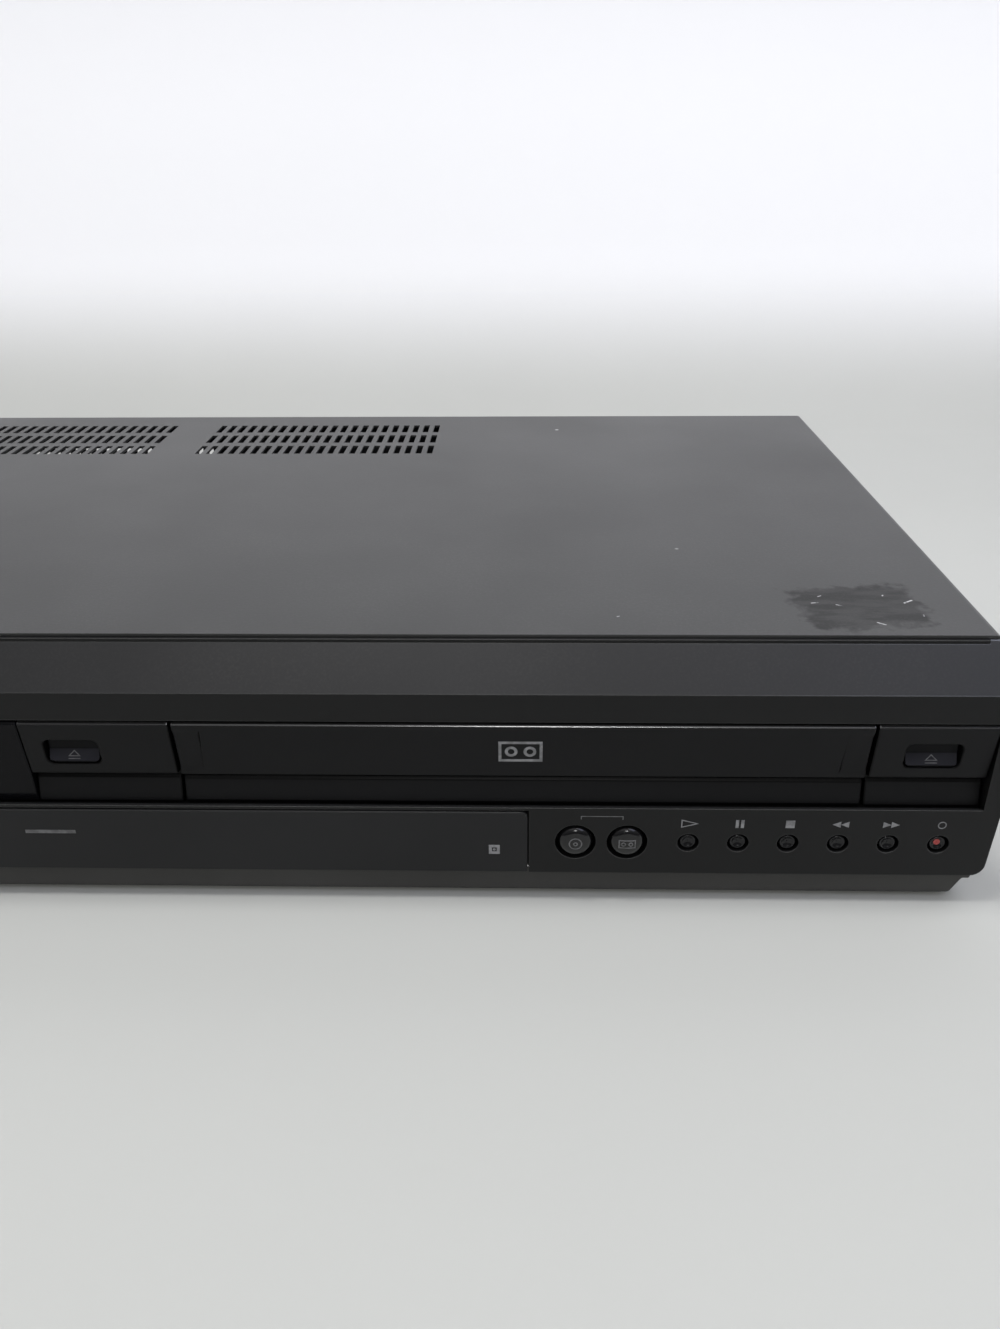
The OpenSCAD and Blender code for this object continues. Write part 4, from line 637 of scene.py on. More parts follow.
@dataclass(frozen=True)
class Ink(Finish):
    """Printed ink with thin and thick spots."""

    drift: float = 0.6
    drift_scale: float = 600.0
    spread: float = 0.1
    depth: float = 10e-6


@dataclass(frozen=True)
class Populated(Finish):
    """A circuit board: laminate with tracks, and dark parts above its top or in front of its face."""

    dust: float = 0.3
    dust_color: Color = (0.3, 0.29, 0.27)
    grain: float = 1500.0
    spread: float = 0.2
    depth: float = 10e-6
    parts_color: Color = (0.03, 0.03, 0.032)
    top: float = 1.0
    face: float = -1.0

    def tone(self, shader: Shader) -> Socket:
        """Returns the laminate with its tracks, and the colour of what stands on it.

        Args:
            shader: the shader.

        Returns:
            The colour.
        """
        place = shader.place()
        tracks = {"Vector": place, "Scale": 60.0, "Mortar Size": 0.03, "Color1": self.color,
                  "Color2": paler(self.color, 0.8), "Mortar": paler(self.color, 1.7)}
        above = shader.math("GREATER_THAN", shader.parts(place)["Z"], self.top)
        before = shader.math("LESS_THAN", shader.parts(place)["Y"], self.face)
        laminate = shader.add("TexBrick", tracks, offset=0.5)["Color"]
        return shader.blend(shader.math("MAXIMUM", above, before), laminate, self.parts_color)


BAR_FOOT = 57.6 * MM  # height of the lower edge of the flap's bar
# Fascia: painted top light on faces that lean up, and painted shade in gaps.
FASCIA = Moulded("fascia_plastic", (0.0060, 0.0060, 0.0062), 0.40, 0.25, grain=2400.0, depth=14e-6,
                 dust=0.035, rounding=0.5 * MM, recess=2 * MM, painted_uplight=2.7)
# Panels: painted shade in pockets, and on edges below the bar's foot.
PANEL = Moulded("panel_plastic", (0.0092, 0.0092, 0.0098), 0.42, 0.13, grain=2400.0, depth=10e-6,
                dust=0.03, rub_and_highlight=0.3, polish=1.0, recess=5 * MM, shine_from=BAR_FOOT)
DOOR = Moulded("door_plastic", (0.0172, 0.0172, 0.0180), 0.42, 0.20, grain=2400.0, depth=10e-6,
               dust=0.03, polish=1.0)
TRIM = Moulded("trim_plastic", (0.050, 0.049, 0.047), 0.45, 0.3, grain=1800.0)
KEYS = Moulded("key_plastic", (0.007, 0.007, 0.008), 0.22, 0.35, grain=900.0, depth=4e-6, dust=0.02,
               rub_and_highlight=0.5)
# Wedge buttons: a strong painted top light on the faces that lean up.
WEDGES = Moulded("wedge_plastic", (0.0035, 0.0035, 0.0042), 0.32, 0.08, grain=900.0, depth=4e-6,
                 dust=0.02, rub_and_highlight=0.0, polish=0.2, painted_uplight=9.0)
DOMES = Moulded("dome_plastic", (0.005, 0.005, 0.0055), 0.14, 0.1, grain=500.0, depth=2e-6, dust=0.02,
                coat=0.75)
SPOT = Moulded("record_red", (0.42, 0.06, 0.055), 0.3, grain=900.0, depth=4e-6, dust=0.02, rub_and_highlight=0.0)
ACETAL = Moulded("acetal", (0.70, 0.69, 0.64), 0.4, grain=900.0, depth=10e-6, dust=0.08, rub_and_highlight=0.0)
DARK = Moulded("dark_plastic", (0.028, 0.028, 0.030), 0.48, 0.45, grain=1500.0)
SOCKET = Moulded("socket_plastic", (0.014, 0.014, 0.015), 0.38, grain=1200.0, depth=10e-6, dust=0.03,
                 rounding=0.3 * MM)
REAR = Painted("rear_paint", (0.022, 0.022, 0.024), 0.42, chips=0.0)
BLACK_STEEL = Painted("black_steel", (0.016, 0.016, 0.017), 0.34, 0.6, dust=0.03, chips=0.0)
ZINC = BareMetal("zinc_sheet", (0.56, 0.57, 0.56), 0.36)
PRESSED = BareMetal("pressed_steel", (0.50, 0.50, 0.51), 0.32, stretch=(1.0, 0.06, 1.0))
STEEL = BareMetal("bright_steel", (0.66, 0.66, 0.67), 0.22, stretch=(1.0, 1.0, 0.08))
TURNED = BareMetal("turned_aluminium", (0.78, 0.79, 0.80), 0.2, stretch=(1.0, 1.0, 3.0))
NICKEL = BareMetal("nickel", (0.62, 0.61, 0.58), 0.25, drift=0.85)
BELT = Rubber("belt_rubber", (0.012, 0.012, 0.012), 0.55)
FOOT = Rubber("foot_rubber", (0.016, 0.016, 0.016), 0.75)
WINDOW = Smoked("smoked_window", (0.004, 0.004, 0.005), 0.16, 0.12)
PRINT = Ink("pale_print", (0.30, 0.30, 0.31), 0.5)
FAINT = Ink("faint_print", (0.16, 0.16, 0.165), 0.5)


class Tint(Enum):
    """Colours of the phono sockets' insulators."""

    YELLOW = (0.70, 0.50, 0.03)
    WHITE = (0.72, 0.72, 0.69)
    RED = (0.55, 0.03, 0.03)
    GREEN = (0.03, 0.30, 0.08)
    BLUE = (0.03, 0.10, 0.45)
    ORANGE = (0.62, 0.20, 0.03)

    def finish(self) -> Moulded:
        """Returns the moulded finish of that colour."""
        return Moulded(f"{self.name.lower()}_plastic", self.value, 0.35, grain=900.0, depth=4e-6, rub_and_highlight=0.0)


# ---- edges and dressing


@dataclass(frozen=True)
class SoftEdge:
    """How the sharp edges of a piece are broken, in metres and degrees."""

    width: float
    segments: int = 2
    angle: float = 32.0
    worn: bool = True

    def apply(self, piece: Piece) -> None:
        """Adds the modifiers that join, bevel and shade a mesh.

        Args:
            piece: the object with the mesh.
        """
        piece.modifiers.new("weld", "WELD").merge_threshold = 2e-6
        bevel = piece.modifiers.new("bevel", "BEVEL")
        bevel.limit_method = "ANGLE"
        bevel.angle_limit = math.radians(self.angle)
        bevel.width = self.width
        bevel.segments = self.segments
        bevel.use_clamp_overlap = False
        bevel.miter_outer = "MITER_ARC"
        if self.worn:
            bevel.material = 1
        piece.modifiers.new("shade", "WEIGHTED_NORMAL").weight = 80


def clad(piece: Piece, finish: Finish, edge: SoftEdge | None = None) -> Piece:
    """Gives a piece its finish and its broken edges.

    Args:
        piece: the object to dress.
        finish: the finish of its faces.
        edge: how its edges are broken, or None to leave them.

    Returns:
        The same piece.
    """
    wears = [Wear.FACE] + ([Wear.EDGE] if edge is not None and edge.worn else [])
    while len(piece.material_slots) < len(wears):
        piece.data.materials.append(None)
    for slot, wear in zip(piece.material_slots, wears):
        slot.link = "OBJECT"
        slot.material = finish.material(wear)
    if edge is not None:
        edge.apply(piece)
    return piece


@dataclass(frozen=True)
class Dress:
    """The finish and edges of some nodes of the frame."""

    nodes: tuple[str, ...]
    finish: Finish
    edge: SoftEdge | None = None

    def apply(self) -> list[Piece]:
        """Dresses the nodes and returns them."""
        return [clad(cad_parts[name], self.finish, self.edge) for name in self.nodes]


@dataclass
class Assembly:
    """A sub-assembly: nodes of the frame, each in its dress, and pieces of its own."""

    dresses: tuple[Dress, ...] = ()

    def special(self) -> Iterable[Dress]:
        """Returns the dresses that are measured from the frame."""
        return ()

    def extras(self) -> Iterable[Piece]:
        """Builds and returns the pieces that the frame doesn't have."""
        return ()

    def build(self) -> list[Piece]:
        """Dresses the nodes, builds the extra pieces and returns them all."""
        dressed = [piece for dress in (*self.special(), *self.dresses) for piece in dress.apply()]
        return dressed + list(self.extras())


# ---- mesh tools


def placed(name: str, data: bpy.types.ID | Mesh) -> Piece:
    """Makes an object and puts it into the scene.

    Args:
        name: its name.
        data: its camera or lamp data, or a bmesh, which is freed.

    Returns:
        The object.
    """
    if isinstance(data, Mesh):
        mesh, data = data, bpy.data.meshes.new(name)
        mesh.to_mesh(data)
        mesh.free()
    item = bpy.data.objects.new(name, data)
    bpy.context.scene.collection.objects.link(item)
    return item


def piece_from(name: str, mesh: Mesh, body: str, finish: Finish, slot: str) -> Piece:
    """Turns a bmesh into a piece that rides on a body.

    Args:
        name: the piece's name.
        mesh: the mesh, which is freed.
        body: body of the frame that it rides on.
        finish: its finish.
        slot: the record's material slot that it belongs to; not used.

    Returns:
        The new object.
    """
    bmesh.ops.recalc_face_normals(mesh, faces=mesh.faces)
    piece = clad(placed(name, mesh), finish)
    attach(piece, body)
    return piece


@dataclass(frozen=True)
class Lathe:
    """Turns pieces round an axis that leans from the vertical by a tilt about X.

    The tilt is in radians, and the steps say how many faces go round.
    """

    tilt: float
    steps: int
    slot: str

    def turn(self, name: str, place: Vector, profile: Sequence[Point], body: str, finish: Finish) -> Piece:
        """Turns a closed profile into a piece.

        Args:
            name: the piece's name.
            place: where the axis crosses height 0.
            profile: points of (radius, height), none on the axis.
            body: body of the frame that it rides on.
            finish: its finish.

        Returns:
            The piece.
        """
        mesh = bmesh.new()
        at = Matrix.Translation(place) @ Matrix.Rotation(self.tilt, 4, "X")
        rings = []
        for i in range(self.steps):
            turn = 2 * math.pi * i / self.steps
            points = [Vector((r * math.cos(turn), r * math.sin(turn), z)) for r, z in profile]
            rings.append([mesh.verts.new(at @ point) for point in points])
        for near, far in zip(rings, rings[1:] + rings[:1]):
            for j in range(len(profile)):
                k = (j + 1) % len(profile)
                mesh.faces.new((near[j], far[j], far[k], near[k])).smooth = True
        return piece_from(name, mesh, body, finish, self.slot)


def stroke(points: Sequence[Point], width: float, closed: bool = False) -> list[Loop]:
    """Outlines of a line of some width, mitred at its corners, with square ends.

    Args:
        points: corners of the line.
        width: its width.
        closed: whether it runs back to its start.

    Returns:
        One four-cornered outline per stretch, none over another.
    """
    count = len(points)
    sides = []
    for i, point in enumerate(points):
        around = []
        if closed or i > 0:
            around.append((points[i - 1], point))
        if closed or i < count - 1:
            around.append((point, points[(i + 1) % count]))
        across = [Vector((a[1] - b[1], b[0] - a[0])).normalized() for a, b in around]
        middle = sum(across, Vector((0.0, 0.0))).normalized()
        reach = width / 2 / max(0.4, middle.dot(across[0]))
        sides.append(((point[0] + middle.x * reach, point[1] + middle.y * reach),
                      (point[0] - middle.x * reach, point[1] - middle.y * reach)))
    pairs = list(zip(sides, sides[1:] + sides[:1]))
    return [[first[0], second[0], second[1], first[1]] for first, second in pairs[:None if closed else -1]]


def arc(x: float, y: float, radius: float, start: float, end: float, steps: int = 32) -> Loop:
    """Points on an arc.

    Args:
        x: its middle, across.
        y: its middle, up.
        radius: its radius.
        start: where it starts, in degrees from the right.
        end: where it ends, in degrees.
        steps: how many stretches it has.

    Returns:
        The points, both ends among them.
    """
    turns = [math.radians(start + (end - start) * i / steps) for i in range(steps + 1)]
    return [(x + radius * math.cos(turn), y + radius * math.sin(turn)) for turn in turns]


def circle(x: float, radius: float) -> Loop:
    """Points on a circle whose middle lies at height 0."""
    return arc(x, 0.0, radius, 0.0, 360.0)[:-1]


def rectangle(x: float, y: float, across: float = 0.0) -> Loop:
    """Corners of a rectangle of half sides x and y, its middle moved across."""
    return [(across - x, -y), (across + x, -y), (across + x, y), (across - x, y)]


def arrow(x: float, half: float, length: float) -> Loop:
    """A triangle whose tip lies at +length from x."""
    return [(x, -half), (x + length, 0.0), (x, half)]


class Sign(Enum):
    """Generic signs that are printed on the player."""

    PLAY = "play"
    PAUSE = "pause"
    STOP = "stop"
    REWIND = "rewind"
    FORWARD = "forward"
    RECORD = "record"
    EJECT = "eject"
    POWER = "power"
    DISC = "disc"
    TAPE = "tape"
    PAIR = "pair"
    BAR = "bar"
    BADGE = "badge"

    def outlines(self) -> list[Loop]:
        """Draws the sign in a square about 2 wide, centred on the origin.

        Returns:
            Its outlines, each filled.
        """
        line = 0.16

        def ring(x: float, radius: float) -> list[Loop]:
            """Outlines of a drawn circle."""
            return stroke(circle(x, radius), line, closed=True)

        drawn = {
            Sign.PLAY: stroke(arrow(-1.15, 0.62, 2.3), line, closed=True),
            Sign.PAUSE: [rectangle(0.23, 0.7, -0.39), rectangle(0.23, 0.7, 0.39)],
            Sign.STOP: [rectangle(0.66, 0.66)],
            Sign.REWIND: [arrow(0.0, 0.52, -1.2), arrow(1.2, 0.52, -1.2)],
            Sign.FORWARD: [arrow(-1.2, 0.52, 1.2), arrow(0.0, 0.52, 1.2)],
            Sign.RECORD: ring(0.0, 0.55),
            Sign.EJECT: stroke([(-0.95, -0.2), (0.95, -0.2), (0.0, 0.75)], line, closed=True)
            + stroke([(-1.05, -0.68), (1.05, -0.68)], line),
            Sign.POWER: stroke(arc(0.0, 0.0, 0.7, 125.0, 415.0), line) + stroke([(0, 0.2), (0, 0.95)], line),
            Sign.DISC: ring(0.0, 0.85) + ring(0.0, 0.25),
            Sign.TAPE: stroke(rectangle(1.1, 0.6), line, closed=True) + ring(-0.5, 0.26) + ring(0.5, 0.26),
            Sign.PAIR: stroke([(-0.8, -0.1), (-0.8, 0.04), (0.8, 0.04), (0.8, -0.1)], 0.03),
            Sign.BAR: [rectangle(1.0, 0.08)],
            Sign.BADGE: stroke(rectangle(0.72, 0.72), 0.56, closed=True) + [circle(0.0, 0.26)],
        }
        return drawn[self]


def shorter(loop: Loop, longest: float = 0.3) -> list[Loop]:
    """Cuts a four-cornered outline across its length.

    Args:
        loop: the outline, its first side the long one.
        longest: the longest piece that stays.

    Returns:
        The pieces, or the outline alone where it has other than four corners.
    """
    if len(loop) != 4:
        return [loop]
    a, b, c, d = (Vector(p) for p in loop)
    count = max(1, math.ceil((b - a).length / longest))
    rails = [(a.lerp(b, i / count), d.lerp(c, i / count)) for i in range(count + 1)]
    return [[tuple(first[0]), tuple(second[0]), tuple(second[1]), tuple(first[1])]
            for first, second in zip(rails, rails[1:])]


@dataclass(frozen=True)
class Print:
    """A sign printed on a face, as a film of twice the thickness given.

    The face is flat, with its middle and its up given, or it is domed round that middle.
    """

    name: str
    sign: Sign
    middle: Vector
    size: float
    body: str
    ink: Finish = PRINT
    slot: str = "fascia_plastic"
    up: Vector = Vector((0.0, 0.0, 1.0))
    dome: float = 0.0
    film: float = 0.04 * MM

    def lay(self, point: Point, lift: float) -> Vector:
        """Puts a point of the sign on the face.

        Args:
            point: the point in the sign's own units.
            lift: how far it stands off the face.

        Returns:
            Its place in the part's frame.
        """
        x, y = point[0] * self.size, point[1] * self.size
        right = Vector((1.0, 0.0, 0.0))
        out = right.cross(self.up).normalized()
        fall = self.dome - math.sqrt(self.dome**2 - x * x - y * y) if self.dome else 0.0
        return self.middle + right * x + self.up.normalized() * y + out * (lift - fall)

    def build(self) -> Piece:
        """Makes the film.

        Returns:
            The piece.
        """
        mesh = bmesh.new()
        outlines = self.sign.outlines()
        if self.dome:
            outlines = [part for loop in outlines for part in shorter(loop)]
        for loop in outlines:
            low = [mesh.verts.new(self.lay(p, -self.film)) for p in loop]
            high = [mesh.verts.new(self.lay(p, self.film)) for p in loop]
            mesh.faces.new(low)
            mesh.faces.new(list(reversed(high)))
            for i in range(len(loop)):
                k = (i + 1) % len(loop)
                mesh.faces.new((low[i], high[i], high[k], low[k]))
        return piece_from(self.name, mesh, self.body, self.ink, self.slot)


def middle_of(node: str) -> Vector:
    """Returns the middle of a node's box."""
    low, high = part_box(node)
    return (low + high) / 2


# ---- sub-assemblies


FINE_EDGE = SoftEdge(0.45 * MM, segments=3)


@dataclass
class Case(Assembly):
    """Cover with a sticker's mark near its front right corner, chassis pan, rear panel, feet and screws."""

    dresses: tuple[Dress, ...] = (
        Dress(("chassis_pan",), ZINC),
        Dress(("rear_panel",), REAR),
        Dress(("rubber_feet",), FOOT, SoftEdge(0.4 * MM, worn=False)),
        Dress(("cover_screws",), BLACK_STEEL, SoftEdge(0.12 * MM, segments=1)),
    )
    mark_from_right: float = 33.5 * MM
    mark_from_front: float = 19.0 * MM
    scratches: tuple[tuple[float, ...], ...] = (
        (14.6, 3.5, 4.0, 0.9, 35.0), (8.6, 8.0, 1.4, 0.7, 70.0), (-12.5, 2.6, 2.6, 0.6, 10.0),
        (-6.0, 1.0, 2.2, 0.5, -25.0), (-10.0, 7.4, 1.8, 0.5, 30.0), (2.6, -11.5, 3.0, 0.7, -38.0),
        (16.0, -6.0, 1.6, 0.6, 80.0), (-70.0, -7.0, 1.2, 0.8, 20.0),
    )

    def special(self) -> Iterable[Dress]:
        """Measures where the mark lies on the cover's paint.

        Returns:
            The cover's dress.
        """
        low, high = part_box("top_cover")
        middle = (high.x - self.mark_from_right, low.y + self.mark_from_front)
        yield Dress(("top_cover",), StickerMark("cover_paint", (0.0280, 0.0280, 0.0276), 0.40, 0.43,
                                                middle=middle, scratches=self.scratches))


@dataclass
class Fascia(Assembly):
    """The moulded front with its panels, window and trim, and what is printed on them."""

    dresses: tuple[Dress, ...] = (
        Dress(("front_fascia",), FASCIA),
        Dress(("base_trim",), TRIM, SoftEdge(0.4 * MM)),
        Dress(("power_panel", "disc_eject_panel", "tape_eject_panel"), PANEL, FINE_EDGE),
        Dress(("display_window",), WINDOW, SoftEdge(0.45 * MM, segments=3, worn=False)),
    )
    row_rise: float = 6.7 * MM
    sign_size: float = 1.95 * MM
    bracket_rise: float = 8.7 * MM

    def extras(self) -> Iterable[Piece]:
        """Prints the signs above the row of keys.

        Returns:
            The printed pieces.
        """
        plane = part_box("front_fascia")[0].y
        for sign in (Sign.PLAY, Sign.PAUSE, Sign.STOP, Sign.REWIND, Sign.FORWARD, Sign.RECORD):
            key = middle_of(f"{sign.value}_button")
            place = Vector((key.x, plane, key.z + self.row_rise))
            yield Print(f"{sign.value}_sign", sign, place, self.sign_size, "case").build()
        left, right = middle_of("disc_select_button"), middle_of("tape_select_button")
        place = Vector(((left.x + right.x) / 2, plane, left.z + self.bracket_rise))
        yield Print("select_bracket", Sign.PAIR, place, (right.x - left.x) / 2, "case", FAINT).build()


@dataclass
class Buttons(Assembly):
    """All push buttons and the signs on them."""

    dresses: tuple[Dress, ...] = (
        Dress(("power_button", "disc_eject_button", "tape_eject_button"), WEDGES, SoftEdge(0.25 * MM)),
    )
    dome_radius: float = 14 * MM
    dome_proud: float = 1.15 * MM
    dome_half: float = 3.3 * MM
    dome_flange: float = 6.6 * MM
    rim: float = 2.25 * MM
    key_half: float = 2.35 * MM
    key_rim: float = 0.4 * MM
    key_sink: float = 0.55 * MM
    key_dish: float = 0.85 * MM
    key_flange: float = 3.7 * MM
    film_room: float = 0.05 * MM
    dome_sign: float = 2.1 * MM
    wedge_sign: float = 1.6 * MM
    wedge_sign_at: Point = (0.7 * MM, 2.05 * MM)
    wedge_lean: Point = (1.4 * MM, 3.1 * MM)
    flange: float = 2.9 * MM
    flange_depth: float = 1.1 * MM
    stem_radius: float = 1.8 * MM
    stem: float = 12.3 * MM
    bore: float = 0.02 * MM
    lathe: Lathe = Lathe(math.pi / 2, 56, "key_plastic")

    def shank(self, radius: float, flange: float) -> list[Point]:
        """Draws what lies behind a cap: its side, flange and stem.

        Args:
            radius: radius of the cap.
            flange: radius of the flange.

        Returns:
            The rest of the profile.
        """
        back = -self.flange - self.flange_depth
        return [(radius, -self.flange), (flange, -self.flange), (flange, back), (self.stem_radius, back),
                (self.stem_radius, -self.stem), (self.bore, -self.stem)]

    def dome(self) -> list[Point]:
        """Draws a domed cap whose rim is rounded.

        Returns:
            Its profile.
        """
        steep = math.acos(self.dome_half / self.dome_radius)
        lean = math.degrees(steep)
        dome = arc(0.0, self.dome_proud - self.dome_radius, self.dome_radius, 90.0, lean, 8)
        x, z = dome[-1][0] - self.rim * math.cos(steep), dome[-1][1] - self.rim * math.sin(steep)
        rim = arc(x, z, self.rim, lean, 0.0, 8)
        return [(self.bore, dome[0][1])] + dome[1:] + rim[1:] + self.shank(rim[-1][0], self.dome_flange)

    def dished(self) -> list[Point]:
        """Draws a small cap with a hollow top and a rounded rim.

        Returns:
            Its profile.
        """
        inner, steps = self.key_half - self.key_rim, 6
        hollow = [(max(self.bore, inner * i / steps), -self.key_sink - self.key_dish * (1 - (i / steps) ** 2))
                  for i in range(steps + 1)]
        rim = arc(inner, -self.key_sink - self.key_rim, self.key_rim, 75.0, 0.0, 3)
        return hollow + rim + self.shank(self.key_half, self.key_flange)

    def seat(self, node: str) -> Vector:
        """Returns the point of the front that a button's axis goes through."""
        middle = middle_of(node)
        return Vector((middle.x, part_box("front_fascia")[0].y, middle.z))

    def caps(self) -> Iterable[Piece]:
        """Makes the round caps that stand in for the buttons' solids, with the signs on the domed ones.

        Returns:
            The pieces.
        """
        for node, sign in (("disc_select_button", Sign.DISC), ("tape_select_button", Sign.TAPE)):
            cap = self.lathe.turn(f"{sign.value}_select_cap", self.seat(node), self.dome(), node, DOMES)
            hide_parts(node)
            yield cap
            low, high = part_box(node)
            place = Vector(((low.x + high.x) / 2, low.y + self.film_room, (low.z + high.z) / 2))
            yield Print(f"{sign.value}_select_sign", sign, place, self.dome_sign, node, FAINT,
                        "key_plastic", dome=self.dome_radius).build()
        for name in ("play", "pause", "stop", "rewind", "forward", "record"):
            node = f"{name}_button"
            cap = self.lathe.turn(f"{name}_cap", self.seat(node), self.dished(), node, KEYS)
            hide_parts(node)
            yield cap

    def extras(self) -> Iterable[Piece]:
        """Makes the caps and the record key's red spot, and prints the signs on the wedge-faced buttons.

        Returns:
            The pieces.
        """
        yield from self.caps()
        top = -self.key_sink - self.key_dish + 0.2 * MM
        spot = [(self.bore, top - 0.25 * MM), (1.25 * MM, top - 0.25 * MM), (1.2 * MM, top - 0.05 * MM),
                (1.0 * MM, top), (self.bore, top + 0.03 * MM)]
        yield self.lathe.turn("record_spot", self.seat("record_button"), spot, "record_button", SPOT)
        for node, sign in (("disc_eject_button", Sign.EJECT), ("tape_eject_button", Sign.EJECT),
                           ("power_button", Sign.POWER)):
            low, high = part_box(node)
            back, rise = self.wedge_sign_at
            place = Vector(((low.x + high.x) / 2, low.y + back, low.z + rise))
            yield Print(f"{node}_sign", sign, place, self.wedge_sign, node, FAINT, "key_plastic",
                        up=Vector((0.0, *self.wedge_lean))).build()


@dataclass
class Flap(Assembly):
    """The cassette flap, its spring and its printed sign. The lean is its bar's slope."""

    dresses: tuple[Dress, ...] = (
        Dress(("cassette_flap",), PANEL, FINE_EDGE),
        Dress(("flap_spring",), STEEL),
    )
    sign_drop: float = 9.4 * MM
    sign_size: float = 5.2 * MM
    upright: float = 0.9 * MM
    lean: float = 2.1 / 17.2

    def extras(self) -> Iterable[Piece]:
        """Prints a plain cassette sign on the middle of the bar.

        Returns:
            The sign.
        """
        low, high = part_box("cassette_flap")
        bar_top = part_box("disc_eject_panel")[1].z
        place = Vector(((low.x + high.x) / 2, low.y + (self.sign_drop - self.upright) * self.lean,
                        bar_top - self.sign_drop))
        up = Vector((0.0, -self.lean, 1.0))
        yield Print("cassette_sign", Sign.TAPE, place, self.sign_size, "flap", PRINT, "panel_plastic",
                    up=up).build()


@dataclass
class DiscDrive(Assembly):
    """Tray, its door, and the loader behind it."""

    dresses: tuple[Dress, ...] = (
        Dress(("tray_door",), DOOR, SoftEdge(0.35 * MM, segments=3)),
        Dress(("disc_tray",), DARK, SoftEdge(0.2 * MM)),
        Dress(("loader_frame", "traverse_plate"), DARK),
        Dress(("clamp_bridge",), PRESSED),
        Dress(("clamp_puck", "tray_gear"), ACETAL),
        Dress(("disc_turntable", "optical_sled"), TURNED),
        Dress(("sled_rods", "tray_motor"), STEEL),
        Dress(("tray_belt",), BELT),
    )
    bar_at: Point = (139.2 * MM, 8.0 * MM)
    bar_size: float = 7.4 * MM
    badge_at: Point = (9.6 * MM, 13.3 * MM)
    badge_size: float = 1.6 * MM

    def extras(self) -> Iterable[Piece]:
        """Prints a plain bar and a small square badge on the door.

        Returns:
            The two pieces.
        """
        low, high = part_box("tray_door")
        for sign, (left, down), size, ink in ((Sign.BAR, self.bar_at, self.bar_size, FAINT),
                                              (Sign.BADGE, self.badge_at, self.badge_size, PRINT)):
            place = Vector((high.x - left, low.y, high.z - down))
            yield Print(f"door_{sign.value}", sign, place, size, "tray", ink).build()


@dataclass
class TapeDeck(Assembly):
    """Deck plate, cassette carriage, drum, reels and drives."""

    dresses: tuple[Dress, ...] = (
        Dress(("deck_plate", "side_brackets"), ZINC),
        Dress(("cassette_carriage", "pinch_arm"), PRESSED),
        Dress(("carriage_slides", "supply_reel", "takeup_reel", "reel_clutch"), ACETAL),
        Dress(("lower_drum", "head_drum"), TURNED),
        Dress(("capstan", "entry_guide", "exit_guide", "tape_heads", "loading_motor"), STEEL),
        Dress(("capstan_belt", "pinch_roller"), BELT),
    )


@dataclass
class Electronics(Assembly):
    """Circuit boards and the tuner's can."""

    dresses: tuple[Dress, ...] = (Dress(("tuner_can",), NICKEL),)
    board_depth: float = 1.55 * MM
    front_depth: float = 1.7 * MM

    def special(self) -> Iterable[Dress]:
        """Measures where the boards' laminate ends and their parts start.

        Returns:
            The boards' dresses.
        """
        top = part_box("main_board")[0].z + self.board_depth
        yield Dress(("main_board",), Populated("main_board", (0.012, 0.075, 0.028), 0.4, top=top))
        yield Dress(("power_board",), Populated("power_board", (0.30, 0.20, 0.075), 0.45,
                                                parts_color=(0.05, 0.05, 0.06), top=top))
        for node in ("button_board", "display_board"):
            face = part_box(node)[1].y - self.front_depth
            yield Dress((node,), Populated(node, (0.26, 0.17, 0.065), 0.45, face=face))


